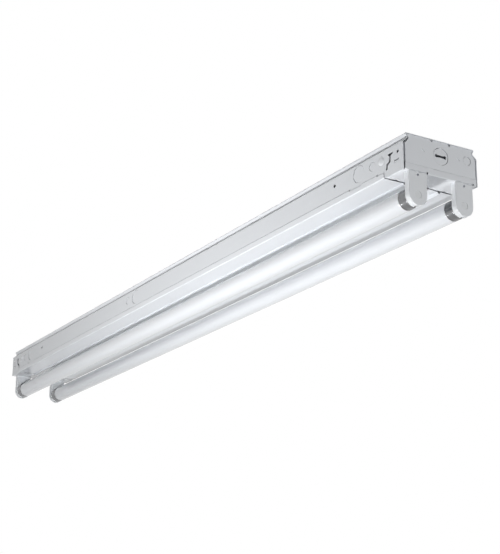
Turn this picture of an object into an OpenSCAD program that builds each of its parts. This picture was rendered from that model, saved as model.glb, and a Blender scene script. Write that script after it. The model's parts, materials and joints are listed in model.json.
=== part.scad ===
// Two-lamp fluorescent strip light: a folded steel channel with two tubes below it.
// Millimetres. The origin is the middle of the channel's top face, which meets
// the ceiling. X runs along the channel and Z points up. The front lamp is at -Y
// and the right-hand end is at +X.

/* [Channel] */
// Length over the two socket trays
fixture_l = 1219.2; // [900:0.1:2440]
// Width over the side walls
channel_w = 110.8; // [106:0.1:130]
// Depth from the ceiling face to the underside
channel_d = 47; // [45:0.1:60]
// Thickness of the channel and end plate steel
sheet_t = 0.8; // [0.6:0.1:1]
// Width of the top face
top_w = 104.6; // [100:0.1:105]
// Width at the neck under the top face
neck_w = 98; // [94:0.1:100]
// Depth of the neck
neck_d = 6; // [5:0.1:7]
// Depth of the shoulders
shoulder_d = 11.4; // [10.5:0.1:12.5]

/* [Ceiling holes] */
// Distance of each ceiling hole from its end
ceiling_hole_from_end = 114.3; // [80:0.1:160]
// Radius of the ceiling holes
ceiling_hole_r = 3.3; // [2.5:0.1:4]
// Distance of each supply knockout in the top from the middle
top_knockout_from_middle = 228.6; // [190:0.1:300]

/* [Knockouts] */
// Radius of the large knockouts
big_knockout_r = 11.1; // [9:0.1:12]
// Radius of the small knockouts
small_knockout_r = 5.9; // [4:0.1:7]
// Width of the slit round a knockout
knockout_slit = 0.5; // [0.3:0.05:0.8]
// Width of the two bridges that hold a knockout
knockout_bridge = 3; // [2:0.1:4]
// Distance of the small wall knockouts from the ends
small_knockout_from_end = 61.5; // [58:0.1:64]
// Distance of the large wall knockouts from the ends
big_knockout_from_end = 89.5; // [86:0.1:110]
// Depth of the wall knockouts' centres
wall_knockout_d = 23.5; // [23:0.1:25]
// Distance of the middle pair's large knockout to the left of the middle
middle_knockout_x = 88.4; // [40:0.1:140]
// Distance between the two knockouts of the middle pair
middle_knockout_gap = 27; // [22:0.1:40]

/* [Wall details] */
// Distance of the end plate's alignment holes from the ends
wall_hole_from_end = 11; // [9:0.1:12]
// Radius of the alignment holes
wall_hole_r = 2; // [1.5:0.1:2.5]
// Depth of the alignment holes
wall_hole_d = 21.5; // [19:0.1:24]
// Distance of the pilot holes from the ends
pilot_hole_from_end = 141; // [120:0.1:160]
// Radius of the pilot holes
pilot_hole_r = 2.2; // [1.5:0.1:3]
// Depth of the pilot holes
pilot_hole_d = 22; // [18:0.1:28]
// Distance of the pressed dimples from the ends
dimple_from_end = 43; // [42.5:0.1:46]
// Depth of the dimples' centres
dimple_d = 23; // [20:0.1:25]
// Radius of a dimple
dimple_r = 6.2; // [4:0.1:6.5]
// Height of a dimple above the wall
dimple_h = 1.5; // [1:0.1:1.8]
// Distance of the lances' middle from the ends
lance_from_end = 13.2; // [12:0.1:14]
// Length of a lance slit
lance_l = 9; // [6:0.1:10]
// Width of a lance slit
lance_w = 1.1; // [0.6:0.1:1.3]
// Depth of the upper lance slit
lance_d = 30.6; // [29:0.1:32]
// Distance between the two lance slits
lance_pitch = 3.4; // [2.5:0.1:4]
// Width of the hanger slots
hanger_slot_w = 2.5; // [1.5:0.1:2.8]

/* [End plates] */
// Distance from an end plate's face to the tray flange's face
plate_recess = 0.7; // [0.7:0.05:1]
// Gap between an end plate and the channel round it
plate_gap = 0.3; // [0.2:0.05:0.5]
// Length of the end plate's side flanges
plate_flange_l = 19; // [18.5:0.1:20]
// Depth of the end plate's lower edge
plate_bottom_d = 41; // [39:0.1:42]
// Depth of the end knockouts
end_knockout_d = 19.2; // [18.5:0.1:21]
// Distance of the end plate's small knockout from its middle
end_small_knockout_y = 40; // [36:0.1:41]
// Depth of the end plate's small knockout
end_small_knockout_d = 16; // [14:0.1:18]
// Distance between the round ends of the pry slot
pry_slot_l = 12.6; // [8:0.1:14]
// Radius of the pry slot's round ends
pry_slot_r = 2.2; // [1.5:0.1:2.6]
// Height of the pry slot between its round ends
pry_slot_h = 2.8; // [2:0.1:3.6]
// Distance of the bend notches from the middle
bend_notch_y = 13.3; // [10:0.1:18]
// Radius of the bend notches
bend_notch_r = 1.2; // [0.8:0.1:1.6]

/* [Socket trays] */
// Length of a socket tray
tray_l = 35; // [34:0.1:40]
// Thickness of the tray and cover steel
cover_t = 0.7; // [0.5:0.05:0.7]
// Depth of the upper edge of the tray's end flange
tray_flange_d = 37.4; // [36:0.1:38.5]
// Height of the tray's side flanges
tray_side_h = 7.5; // [4:0.1:8]
// Gap beside the tray inside the walls
tray_gap = 0.15; // [0.1:0.05:0.3]
// Distance of the flange's outer notches from the middle
tray_notch_y = 31; // [28:0.1:34]
// Radius of the flange and edge notches
tray_notch_r = 1; // [0.6:0.1:1.3]
// Gap round a lampholder in its slot
holder_slot_gap = 0.2; // [0.15:0.05:0.4]
// Height of the slot's opening in the end flange
holder_window_h = 1.4; // [1.2:0.1:2]
// Radius of the slot's corner relief
slot_relief_r = 1.2; // [0.8:0.1:1.4]

/* [Cover] */
// Width of the slit between tray and cover
cover_slit = 2.8; // [1:0.1:4]
// Height of the cover's side flanges
cover_flange_h = 8.6; // [7:0.1:10]
// Gap between the flanges and the walls
cover_gap = 0.15; // [0.1:0.05:0.3]
// Distance from the middle to the outer foot of each ridge
ridge_outer_y = 28; // [27.5:0.1:30]
// Distance from the middle to the crest of each ridge
ridge_crest_y = 27; // [24:0.1:27]
// Distance from the middle to the inner foot of each ridge
ridge_inner_y = 18; // [14:0.1:20]
// Height of the ridges
ridge_h = 3.5; // [2:0.1:4]
// Length of the notches in the side flanges
flange_notch_l = 25; // [15:0.1:30]
// Depth of the notches in the side flanges
flange_notch_h = 2.3; // [1.5:0.1:3]
// Distance of the long notches' middle from the ends
flange_notch_from_end = 94.5; // [90:0.1:110]
// Length of the short notches at the cover's ends
end_notch_l = 12; // [8:0.1:14]

/* [Lamps] */
// Distance between the two lamps
lamp_pitch = 69; // [66:0.1:72]
// Depth of the lamp axis
lamp_d = 74.9; // [73:0.1:82]
// Outer radius of the glass tube
lamp_r = 12.7; // [12.5:0.05:13]
// Thickness of the glass
glass_t = 0.8; // [0.6:0.05:1]
// Length of the metal caps
cap_l = 14; // [12:0.1:16]
// Thickness of the metal caps
cap_t = 0.35; // [0.25:0.05:0.4]
// Distance from the middle of a cap to each pin
pin_offset = 6.35; // [6.2:0.05:6.4]
// Radius of a pin
pin_r = 1.175; // [1.1:0.025:1.2]
// Length of a pin outside the cap
pin_l = 6.65; // [6.4:0.05:6.7]
// Radius of the pin insulator's face
insulator_r = 9; // [8.5:0.1:9.5]
// Thickness of the pin insulator
insulator_t = 1.8; // [1.2:0.1:2]
// Depth of the glass end behind the cap's face
glass_inset = 5; // [4:0.1:6]

/* [Lampholders] */
// Width of a lampholder and of its round end
holder_w = 26.4; // [25:0.1:28]
// Thickness of a lampholder
holder_t = 8.4; // [8.4:0.1:9]
// Distance from a lampholder's face to the tray flange's face
holder_recess = 1; // [0.9:0.05:1.2]
// Thickness of a lampholder's back plate
holder_back_t = 1.2; // [1:0.05:1.3]
// Thickness of a lampholder's wall next to the lamp
holder_front_t = 1.6; // [1.2:0.1:1.8]
// Width of the slot that the pins enter by
entry_slot_w = 3.2; // [2.9:0.1:4]
// Overlap of a lampholder's foot past its slot
foot_lip = 1.8; // [1:0.1:2.2]
// Height of a lampholder's foot
foot_h = 3.6; // [3:0.1:4.2]
// Gap between a cap's face and its lampholder
lamp_end_gap = 0.5; // [0.4:0.05:1]
// Radius of the test hole in the back plate
test_hole_r = 1.5; // [1:0.1:1.8]
// Distance of the test hole from the underside
test_hole_drop = 3; // [2.5:0.1:4]

/* [Rotors] */
// Radius of the rotor's front boss
rotor_boss_r = 7.6; // [7.6:0.01:7.65]
// Radius of the rotor's collar
rotor_collar_r = 8.6; // [8.2:0.05:8.8]
// Thickness of the rotor's collar
rotor_collar_t = 0.9; // [0.6:0.05:1.1]
// Radius of the rotor's hub
rotor_hub_r = 6.8; // [6.2:0.05:7]
// Thickness of the rotor behind the pins
rotor_floor_t = 0.8; // [0.6:0.05:0.9]
// Radius of the rotor's back journal
rotor_journal_r = 4.75; // [4:0.05:5.2]
// Width of the rotor's slot
rotor_slot_w = 2.9; // [2.6:0.05:3]
// Radial running clearance of the rotor
running_gap = 0.05; // [0.03:0.01:0.08]
// End float of the rotor
rotor_float = 0.1; // [0.05:0.01:0.15]

/* [Contacts] */
// Thickness of the contact spring
contact_t = 0.4; // [0.3:0.05:0.45]
// Width of the contact spring
contact_w = 3; // [2:0.1:3.1]
// Distance from the lamp axis to the contact spring's nose
contact_nose_y = 7.75; // [7.7:0.05:7.8]
// Distance from the lamp axis to the contact spring's arms
contact_arm_y = 8.6; // [8.5:0.05:8.8]
// Height of the contact spring's top over the lamp axis
contact_top = 13; // [11:0.1:15]

/* [Ballast] */
// Length of the ballast case
ballast_l = 240; // [200:0.1:280]
// Width of the ballast case
ballast_w = 42; // [36:0.1:46]
// Height of the ballast case
ballast_h = 28; // [24:0.1:32]
// Thickness of the case and base steel
ballast_t = 0.7; // [0.5:0.05:0.9]
// Length of each ear of the base
ear_l = 13; // [11:0.1:16]
// Radius of the ballast and earth screws' threads
screw_r = 2; // [1.5:0.1:2.2]
// Radius of the ballast screws' heads
screw_head_r = 4.2; // [3.5:0.1:5]
// Height of the ballast screws' heads
screw_head_h = 2.4; // [1.8:0.1:3]
// Thickness of the circuit board
board_t = 1.6; // [1:0.1:2]
// Gap between the circuit board and the case
board_gap = 2.5; // [1:0.1:4]
// Height of the posts that carry the circuit board
board_post_h = 7; // [5:0.1:9]
// Radius of the posts that carry the circuit board
board_post_r = 2.5; // [1.5:0.1:3]
// Radius of the filter capacitors
capacitor_r = 5; // [4:0.1:5.5]
// Height of the filter capacitors
capacitor_h = 15; // [10:0.1:15.5]
// Size of a transformer's block along the board
coil_l = 22; // [16:0.1:26]
// Size of a transformer's block across the board
coil_w = 20; // [14:0.1:24]
// Height of a transformer's block
coil_h = 14; // [10:0.1:15.5]

/* [Wiring] */
// Radius of the wires over their insulation
wire_r = 1.15; // [0.9:0.05:1.15]
// Clearance round a wire in its hole
wire_gap = 0.2; // [0.1:0.05:0.3]
// Width of the lead bushings' necks
bushing_w = 24; // [22:0.1:27]
// Height of the lead bushings' necks
bushing_h = 7; // [5:0.1:9]
// Lip of the lead bushings outside the case
bushing_lip = 1.5; // [1:0.1:2]
// Length of a wire nut
wire_nut_l = 20; // [16:0.1:24]
// Radius of a wire nut at its mouth
wire_nut_r = 3.9; // [3.2:0.1:4]
// Radius of a wire nut at its tip
wire_nut_tip_r = 2.6; // [1.5:0.1:3]
// Distance of the earth screw from the middle
earth_screw_x = 300; // [290:0.1:330]
// Distance of the earth screw from the channel's neck
earth_screw_from_neck = 5; // [4.9:0.1:9]
// Width of the earth screw's hexagon across its corners
earth_hex_w = 8.4; // [7:0.1:9]
// Height of the earth screw's hexagon
earth_hex_h = 3.4; // [2.5:0.1:4]
// Radius of the earth terminal's ring
earth_washer_r = 4.8; // [4.4:0.1:5.5]
// Thickness of the earth terminal's ring
earth_washer_t = 0.8; // [0.6:0.1:1]
// Radius of the earth terminal's barrel
terminal_r = 1.6; // [1.3:0.1:2]
// Length of the earth terminal's barrel
terminal_l = 6; // [4:0.1:8]

/* [Hidden] */
$fn = 64;

// Overrun of every cut past the face it opens
over = 1;
left = -1;
right = 1;
front = -1;
rear = 1;

// Channel
half_l = fixture_l / 2;
half_w = channel_w / 2;
channel_end = half_l - plate_recess;
inner_half_w = half_w - sheet_t;
tray_end = half_l - tray_l;
cover_end = tray_end - cover_slit;
tray_top = cover_t - channel_d;
seat_gap = tray_gap;
// Steps of the arc that rounds a dimple
dome_steps = 5;
// Slot for a hanger in each wall: head and leg, as distances from the end and depths
hanger_head = [[22, -20], [28.5, -20]];
hanger_leg = [[25.8, -20], [26.6, -29.3], [31.6, -31.6], [32.8, -37]];
// Round marks pressed in an end plate: radius, depth as a share of the sheet, places
mark_r = 1.2;
mark_depth_share = 0.4;
mark_y = 26.2;
mark_d = 17;
// Places of the two notches in the tray's inner edge
edge_notches_y = [-41, 6];

// Lamps and lampholders, measured from the end of the fixture
holder_r = holder_w / 2;
holder_out = half_l - holder_recess;
holder_in = holder_out - holder_t;
back_in = holder_out - holder_back_t;
cap_face = holder_in - lamp_end_gap;
front_wall_in = holder_in + holder_front_t;
insulator_lip = 1.6;
insulator_neck_t = cap_t;
pin_bore_gap = 0.05;
glass_end = cap_face - glass_inset;
glass_neck_r = lamp_r - cap_t - 0.5 * cap_t;
glass_shoulder_l = 2;
// Cathode mount
stem_gap = pin_bore_gap;
flare_t = 1.2;
stem_r = 4;
stem_l = 20;
lead_wire_r = 0.4;
lead_wire_l = 12;
lead_wire_y = 3;
coil_r = 0.9;
coil_half_l = 5;

// Contact chamber in a lampholder
chamber_gap = 0.3;
contact_in = back_in - holder_back_t;
contact_foot_z = -4.5;
contact_nose_z = 2;
contact_shoulder_z = 7;
chamber_half_w = contact_arm_y + contact_t + chamber_gap;
chamber_top = contact_top + contact_t + chamber_gap;
chamber_bottom = contact_foot_z - chamber_gap;
collar_gap = 0.3;
foot_in = holder_in - foot_lip;
foot_out = channel_end - sheet_t - holder_slot_gap;
wire_hole_x = (contact_in + contact_in - contact_w) / 2;

// Ballast
base_z = -sheet_t;
case_z = base_z - ballast_t;
board_z = case_z - board_post_h;
board_l = ballast_l - 2 * ballast_t - 2 * board_gap;
board_w = ballast_w - 2 * ballast_t - 2 * board_gap;
ear_x = ballast_l / 2 + ear_l / 2;
thread_gap = 0.05;
lead_z = -15;
// Places of the parts on the circuit board, as shares of its length and width
coil_shares = [[-0.30, 0], [0.02, 0], [0.30, 0]];
capacitor_shares = [[-0.14, 0.2], [-0.14, -0.2], [0.17, 0.2], [0.42, -0.15], [-0.43, 0.15]];
post_shares = [[-0.47, -0.38], [-0.47, 0.38], [0.47, -0.38], [0.47, 0.38]];

// Wires: points along each route, chosen by hand. A run out of the ballast is
// measured from the bushing's lip, and a run to a lampholder from the fixture's end
// and the lamp's axis.
tube_sides = 8;
lip_out = ballast_l / 2 + bushing_lip;
rear_lead_out = [[0, 9, 0], [6.5, 9, 0], [16.5, 14, 1], [24.5, 26, 3], [34.5, 35, 3],
    [48.5, 38, 3]];
rear_lead_in = [[-50, 3.5, -12], [-26, 2.5, -15], [-12, 1, -23], [-6, 0, -33]];
front_lead_out = [[0, 4.5, 0], [8.5, 4.5, 0], [20.5, 10, -4], [30.5, 24, -7],
    [40.5, 36, -7], [54.5, 43, -7]];
front_lead_in = [[-50, 77.5, -22], [-32, 74.5, -23], [-22, 64.5, -26],
    [-19, 46.5, -29], [-17, 22.5, -30], [-12, 7.5, -31], [-7, 1, -34]];
black_out = [[0, -1, 0], [9.5, -1, 0], [23.5, 8, -9], [36.5, 28, -14], [50.5, 40, -15],
    [68.5, 44, -15], [108.5, 44, -15]];
white_out = [[0, -6.5, 0], [10.5, -6.5, 0], [26.5, 4, -13], [39.5, 26, -21],
    [54.5, 38, -23], [68.5, 42, -23], [108.5, 42, -23]];
earth_out = [[-16, 0, -2.2], [-24, 1, -8.2], [-32, 3, -14.2], [-41, 4, -16.2],
    [-50, 4, -16.2]];
earth_screw_y = min(top_w, neck_w) / 2 - earth_screw_from_neck;

// Points of a route moved together, and the whole route of each wire
function shifted(points, by) = [for (p = points) p + by];
function from_ballast(points) = shifted(points, [lip_out, 0, lead_z]);
function into_holder(points, side) =
    let (y = side * lamp_pitch / 2)
    concat(shifted(points, [half_l, y, 0]),
        [[wire_hole_x, y, tray_top + foot_h + 2 * wire_r],
        [wire_hole_x, y, chamber_top + wire_gap - lamp_d]]);
rear_lead_route = concat(from_ballast(rear_lead_out), into_holder(rear_lead_in, rear));
front_lead_route =
    concat(from_ballast(front_lead_out), into_holder(front_lead_in, front));
black_route = from_ballast(black_out);
white_route = from_ballast(white_out);
earth_route = shifted(
    concat([[-earth_washer_r - terminal_l, 0, -terminal_r]], earth_out),
    [earth_screw_x, earth_screw_y, -sheet_t]);

// Direction of a line from a to b, and its normal to the right
function heading(a, b) = (b - a) / norm(b - a);
function right_of(a, b) = let (d = heading(a, b)) [d[1], -d[0]];

// A point of a path moved sideways by t, mitred where the path bends
function moved(path, i, t) =
    let (
        last = len(path) - 1,
        before = right_of(path[max(i - 1, 0)], path[max(i, 1)]),
        after = right_of(path[min(i, last - 1)], path[min(i + 1, last)])
    )
    path[i] + t * (before + after) / (1 + before * after);

// The path moved sideways by t, and the closed outline of a sheet folded along it
function beside(path, t) = [for (i = [0 : len(path) - 1]) moved(path, i, t)];
function folded(path, t) =
    concat(path, [for (i = [len(path) - 1 : -1 : 0]) moved(path, i, t)]);

// The channel's outer outline from its front lower edge over the top to the rear
function channel_path() = [
    [-half_w, -channel_d],
    [-half_w, -shoulder_d],
    [-neck_w / 2, -neck_d],
    [-top_w / 2, 0],
    [top_w / 2, 0],
    [neck_w / 2, -neck_d],
    [half_w, -shoulder_d],
    [half_w, -channel_d]
];

// The cover's outer outline, with its two ridges
cover_half_w = half_w + cover_gap + cover_t;
function cover_path() = [
    [cover_half_w, cover_flange_h - channel_d],
    [cover_half_w, -channel_d],
    [ridge_outer_y, -channel_d],
    [ridge_crest_y, -channel_d - ridge_h],
    [ridge_inner_y, -channel_d],
    [-ridge_inner_y, -channel_d],
    [-ridge_crest_y, -channel_d - ridge_h],
    [-ridge_outer_y, -channel_d],
    [-cover_half_w, -channel_d],
    [-cover_half_w, cover_flange_h - channel_d]
];

// One arm of the contact spring, from its foot to its shoulder
function contact_arm(side) = [
    [side * contact_arm_y, contact_foot_z],
    [side * contact_nose_y, -contact_nose_z],
    [side * contact_nose_y, contact_nose_z],
    [side * contact_arm_y, contact_shoulder_z],
    [side * contact_arm_y, contact_top]
];

// Tube swept along a route: rings square to the path, carried on without twist
function across(v, along) = let (u = v - (v * along) * along) u / norm(u);
function route_heading(route, i) =
    let (
        last = len(route) - 1,
        before = heading(route[max(i - 1, 0)], route[max(i, 1)]),
        after = heading(route[min(i, last - 1)], route[min(i + 1, last)])
    )
    (before + after) / norm(before + after);
function ring_side(route, i) = i == 0
    ? across([0, 0, 1], route_heading(route, 0))
    : across(ring_side(route, i - 1), route_heading(route, i));
function ring(route, i, r) =
    let (u = ring_side(route, i), v = cross(route_heading(route, i), u))
    [for (k = [0 : tube_sides - 1]) let (a = 360 * k / tube_sides)
        route[i] + r * (cos(a) * u + sin(a) * v)];

// Lays a flat outline across the channel and extrudes it along X
module along_x(from, to) {
    translate([from, 0, 0])
        rotate([90, 0, 90])
            linear_extrude(to - from)
                children();
}

// A round bar along X or along Y
module bar_x(r, from, to, y, z) {
    translate([from, y, z])
        rotate([0, 90, 0])
            cylinder(r = r, h = to - from);
}

module bar_y(r, l, x, y, z) {
    translate([x, y, z])
        rotate([90, 0, 0])
            cylinder(r = r, h = l, center = true);
}

// A box given by its lowest and highest corner
module block(low, high) {
    translate(low)
        cube(high - low);
}

// Places its child at both ends, the left one mirrored
module at_end(end) {
    mirror([end == left ? 1 : 0, 0, 0])
        children();
}

module at_both_ends() {
    for (end = [left, right])
        at_end(end)
            children();
}

// The slit round a knockout, cut along Z through a sheet at z = 0
module knockout(r) {
    difference() {
        cylinder(r = r, h = 2 * over, center = true);
        cylinder(r = r - knockout_slit, h = 4 * over, center = true);
        cube([knockout_bridge, 4 * r, 4 * over], center = true);
    }
}

// A knockout in both side walls, its bridges level or upright
module wall_knockout(r, x) {
    for (side = [front, rear])
        translate([x, side * (half_w - sheet_t / 2), -wall_knockout_d])
            rotate([90, 0, 0])
                knockout(r);
}

// A slot with round ends through the sheet at z = 0, from a to b
module slot(a, b, w) {
    run = norm(b - a);
    translate([a[0], a[1], 0])
        rotate([0, 0, atan2(b[1] - a[1], b[0] - a[0])]) {
            translate([0, -w / 2, -over])
                cube([run, w, 2 * over]);
            for (x = [0, run])
                translate([x, 0, 0])
                    cylinder(r = w / 2, h = 2 * over, center = true);
        }
}

module slot_chain(points, w) {
    for (i = [1 : len(points) - 1])
        slot(points[i - 1], points[i], w);
}

// Puts a cut drawn by distance from the end and height in both walls of the right
// end, or in sheets that lie inside them
module on_walls(inset) {
    for (side = [front, rear])
        translate([half_l, side * (half_w - sheet_t / 2 - inset), 0])
            rotate([90, 0, 0])
                mirror([1, 0, 0])
                    children();
}

// Section of a dome of radius r and height h that stands on a round root
function dome_section(r, h, root) =
    let (ball = (r * r + h * h) / (2 * h), reach = asin(r / ball))
    concat([[0, -root], [r, -root]], [for (i = [0 : dome_steps])
        let (a = reach * (1 - i / dome_steps)) [ball * sin(a), ball * cos(a) - ball + h]]);

// A dome on the outside of a wall, or the hollow behind it
module wall_dome(side, r, from, root) {
    translate([half_l - dimple_from_end, side * from, -dimple_d])
        rotate([-90 * side, 0, 0])
            rotate_extrude()
                polygon(dome_section(r, dimple_h, root));
}

// The two slits of a lance
module lance_slits() {
    for (z = [-lance_d, -lance_d - lance_pitch])
        slot([lance_from_end - lance_l / 2, z], [lance_from_end + lance_l / 2, z],
            lance_w);
}

// Holes, knockouts, slots and dimples of both walls at the right end
module channel_wall_cuts() {
    bar_y(wall_hole_r, channel_w + over, half_l - wall_hole_from_end, 0, -wall_hole_d);
    bar_y(pilot_hole_r, channel_w + over, half_l - pilot_hole_from_end, 0,
        -pilot_hole_d);
    wall_knockout(small_knockout_r, half_l - small_knockout_from_end);
    wall_knockout(big_knockout_r, half_l - big_knockout_from_end);
    on_walls(0) {
        slot_chain(hanger_head, hanger_slot_w);
        slot_chain(hanger_leg, hanger_slot_w);
        lance_slits();
    }
    for (side = [front, rear])
        wall_dome(side, dimple_r - sheet_t / 2, inner_half_w, over);
}

module channel_top_cuts() {
    translate([half_l - ceiling_hole_from_end, 0, 0])
        cylinder(r = ceiling_hole_r, h = 4 * over, center = true);
    translate([top_knockout_from_middle, 0, -sheet_t / 2])
        knockout(big_knockout_r);
    translate([ear_x, 0, 0])
        cylinder(r = screw_r + thread_gap, h = 4 * over, center = true);
}

// Folded sheet steel channel, open below, its walls shorter where the cover fits
module channel() {
    color("whitesmoke")
        difference() {
            union() {
                along_x(-channel_end, channel_end)
                    polygon(folded(channel_path(), sheet_t));
                at_both_ends()
                    for (side = [front, rear])
                        wall_dome(side, dimple_r, half_w, sheet_t / 2);
            }
            at_both_ends() {
                channel_wall_cuts();
                channel_top_cuts();
            }
            wall_knockout(big_knockout_r, -middle_knockout_x);
            wall_knockout(small_knockout_r, -middle_knockout_x - middle_knockout_gap);
            translate([earth_screw_x, earth_screw_y, 0])
                cylinder(r = screw_r + thread_gap, h = 4 * over, center = true);
            block([-tray_end - seat_gap, -half_w - over, -channel_d - over],
                [tray_end + seat_gap, half_w + over, tray_top + seat_gap]);
        }
}

// End plate that closes the channel, with a flange inside each wall
module end_plate(end) {
    plate_in = channel_end - sheet_t;
    flange_half_w = inner_half_w - plate_gap;
    color("gainsboro")
        at_end(end)
            difference() {
                union() {
                    along_x(plate_in, channel_end)
                        polygon(beside(channel_path(), sheet_t + plate_gap));
                    for (side = [front, rear])
                        translate([0, side * (flange_half_w - sheet_t / 2), 0])
                            block([channel_end - plate_flange_l, -sheet_t / 2,
                                sheet_t - tray_flange_d],
                                [channel_end, sheet_t / 2, -shoulder_d - sheet_t]);
                }
                block([plate_in - over, -half_w, -channel_d - over],
                    [channel_end + over, half_w, -plate_bottom_d]);
                bar_y(wall_hole_r, channel_w, half_l - wall_hole_from_end, 0,
                    -wall_hole_d);
                on_walls(sheet_t + plate_gap)
                    lance_slits();
                translate([channel_end - sheet_t / 2, 0, -end_knockout_d])
                    rotate([0, 90, 0]) {
                        rotate([0, 0, 90])
                            knockout(big_knockout_r);
                        cube([pry_slot_h, pry_slot_l, 2 * over], center = true);
                        for (y = [-pry_slot_l / 2, pry_slot_l / 2])
                            translate([0, y, 0])
                                cylinder(r = pry_slot_r, h = 2 * over, center = true);
                    }
                translate([channel_end - sheet_t / 2, end_small_knockout_y,
                    -end_small_knockout_d])
                    rotate([0, 90, 0])
                        knockout(small_knockout_r);
                for (side = [front, rear]) {
                    bar_x(bend_notch_r, plate_in - over, channel_end + over,
                        side * bend_notch_y, -sheet_t - plate_gap);
                    bar_x(mark_r, channel_end - mark_depth_share * sheet_t,
                        channel_end + over, side * mark_y, -mark_d);
                }
            }
}

// Tray that carries two lampholders, with flanges at its end and sides
module socket_tray(end) {
    tray_half_w = inner_half_w - tray_gap;
    side_flange_end = channel_end - sheet_t - plate_gap;
    color("white")
        at_end(end)
            difference() {
                union() {
                    block([tray_end, -tray_half_w, -channel_d],
                        [half_l, tray_half_w, tray_top]);
                    block([half_l - cover_t, -tray_half_w, -channel_d],
                        [half_l, tray_half_w, -tray_flange_d]);
                    for (side = [front, rear])
                        translate([0, side * (tray_half_w - cover_t / 2), 0])
                            block([tray_end, -cover_t / 2, -channel_d],
                                [side_flange_end, cover_t / 2,
                                tray_top + tray_side_h]);
                }
                for (side = [front, rear]) {
                    y = side * lamp_pitch / 2;
                    slot_half_w = holder_r + holder_slot_gap;
                    block([holder_in - holder_slot_gap, y - slot_half_w,
                        -channel_d - over],
                        [half_l + over, y + slot_half_w,
                        -channel_d + holder_window_h]);
                    bar_x(slot_relief_r, half_l - cover_t - over, half_l + over,
                        y + slot_half_w, -channel_d + holder_window_h);
                }
                for (y = [-tray_notch_y, 0, tray_notch_y])
                    bar_x(tray_notch_r, half_l - cover_t - over, half_l + over, y,
                        -tray_flange_d);
                for (y = edge_notches_y)
                    translate([tray_end, y, -channel_d])
                        cylinder(r = tray_notch_r, h = 4 * over, center = true);
            }
}

// Cover that clips over the walls between the trays
module channel_cover() {
    flange_top = cover_flange_h - channel_d;
    color("white")
        difference() {
            along_x(-cover_end, cover_end)
                polygon(folded(cover_path(), cover_t));
            at_both_ends()
                for (side = [front, rear]) {
                    y = side * cover_half_w;
                    x = half_l - flange_notch_from_end;
                    block([x - flange_notch_l / 2, y - over, flange_top - flange_notch_h],
                        [x + flange_notch_l / 2, y + over, flange_top + over]);
                    bar_y(tray_notch_r, 2 * over, x - flange_notch_l / 2, y,
                        flange_top - flange_notch_h / 2);
                    block([cover_end - end_notch_l, y - over,
                        flange_top - flange_notch_h],
                        [cover_end + over, y + over, flange_top + over]);
                    bar_y(tray_notch_r, 2 * over, cover_end - end_notch_l, y,
                        flange_top - flange_notch_h / 2);
                }
        }
}

// Places a lampholder piece at its end and side
module at_holder(side, end) {
    at_end(end)
        translate([0, side * lamp_pitch / 2, -lamp_d])
            children();
}

// Outline of a lampholder's face: straight sides over a round end
module holder_outline(top) {
    circle(r = holder_r);
    translate([-holder_r, 0])
        square([holder_w, top]);
}

// Plastic body of a lampholder, open at its back
module holder_body(side, end) {
    top = lamp_d + tray_top;
    color("white")
        at_holder(side, end)
            difference() {
                union() {
                    along_x(holder_in, back_in)
                        holder_outline(top);
                    block([foot_in, -holder_r - foot_lip, top],
                        [foot_out, holder_r + foot_lip, top + foot_h]);
                }
                bar_x(rotor_boss_r + running_gap, holder_in - over, back_in, 0, 0);
                bar_x(rotor_collar_r + collar_gap, front_wall_in, back_in + over, 0, 0);
                block([front_wall_in + rotor_float + rotor_collar_t, -chamber_half_w,
                    chamber_bottom],
                    [back_in + over, chamber_half_w, chamber_top]);
                block([holder_in - over, -entry_slot_w / 2, -holder_w],
                    [back_in + over, entry_slot_w / 2, 0]);
                translate([wire_hole_x, 0, 0])
                    cylinder(r = wire_r + wire_gap, h = lamp_d);
            }
}

// Plate that closes a lampholder's back and carries the rotor's journal
module holder_back(side, end) {
    color("whitesmoke")
        at_holder(side, end)
            difference() {
                along_x(back_in, holder_out)
                    holder_outline(lamp_d + tray_top);
                bar_x(rotor_journal_r + running_gap, back_in - over, holder_out + over,
                    0, 0);
                bar_x(test_hole_r, back_in - over, holder_out + over, 0,
                    lamp_d - channel_d - test_hole_drop);
            }
}

// Rotor that takes the pins and turns with the lamp
module rotor(side, end) {
    collar_from = front_wall_in + rotor_float;
    back = back_in - rotor_float;
    color("gainsboro")
        at_holder(side, end)
            difference() {
                union() {
                    bar_x(rotor_boss_r, holder_in + rotor_float, collar_from, 0, 0);
                    bar_x(rotor_collar_r, collar_from, collar_from + rotor_collar_t, 0,
                        0);
                    bar_x(rotor_hub_r, holder_in + rotor_float, back, 0, 0);
                    bar_x(rotor_journal_r, back - rotor_floor_t,
                        holder_out - holder_back_t / 4, 0, 0);
                }
                block([holder_in - over, -holder_r, -rotor_slot_w / 2],
                    [back - rotor_floor_t, holder_r, rotor_slot_w / 2]);
            }
}

// Bronze contact spring, one bent strip that joins both pins
module contact(side, end) {
    arm = contact_arm(front);
    other = contact_arm(rear);
    path = concat(arm, [for (i = [len(other) - 1 : -1 : 0]) other[i]]);
    color("goldenrod")
        at_holder(side, end)
            along_x(contact_in - contact_w, contact_in)
                polygon(folded(path, -contact_t));
}

// Puts both ends of a lamp in its place
module lamp_ends(side) {
    translate([0, side * lamp_pitch / 2, -lamp_d])
        at_both_ends()
            children();
}

// Glass tube with a necked end inside each cap
module lamp_glass(side) {
    neck_from = cap_face - cap_l - cap_t;
    neck_to = neck_from - glass_shoulder_l;
    profile = [[glass_neck_r, glass_end], [glass_neck_r, neck_from], [lamp_r, neck_to],
        [lamp_r, -neck_to], [glass_neck_r, -neck_from], [glass_neck_r, -glass_end]];
    inside = [for (i = [len(profile) - 1 : -1 : 0]) profile[i] - [glass_t, 0]];
    color("ivory")
        translate([0, side * lamp_pitch / 2, -lamp_d])
            rotate([0, 90, 0])
                rotate_extrude()
                    polygon(concat(profile, inside));
}

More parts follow.
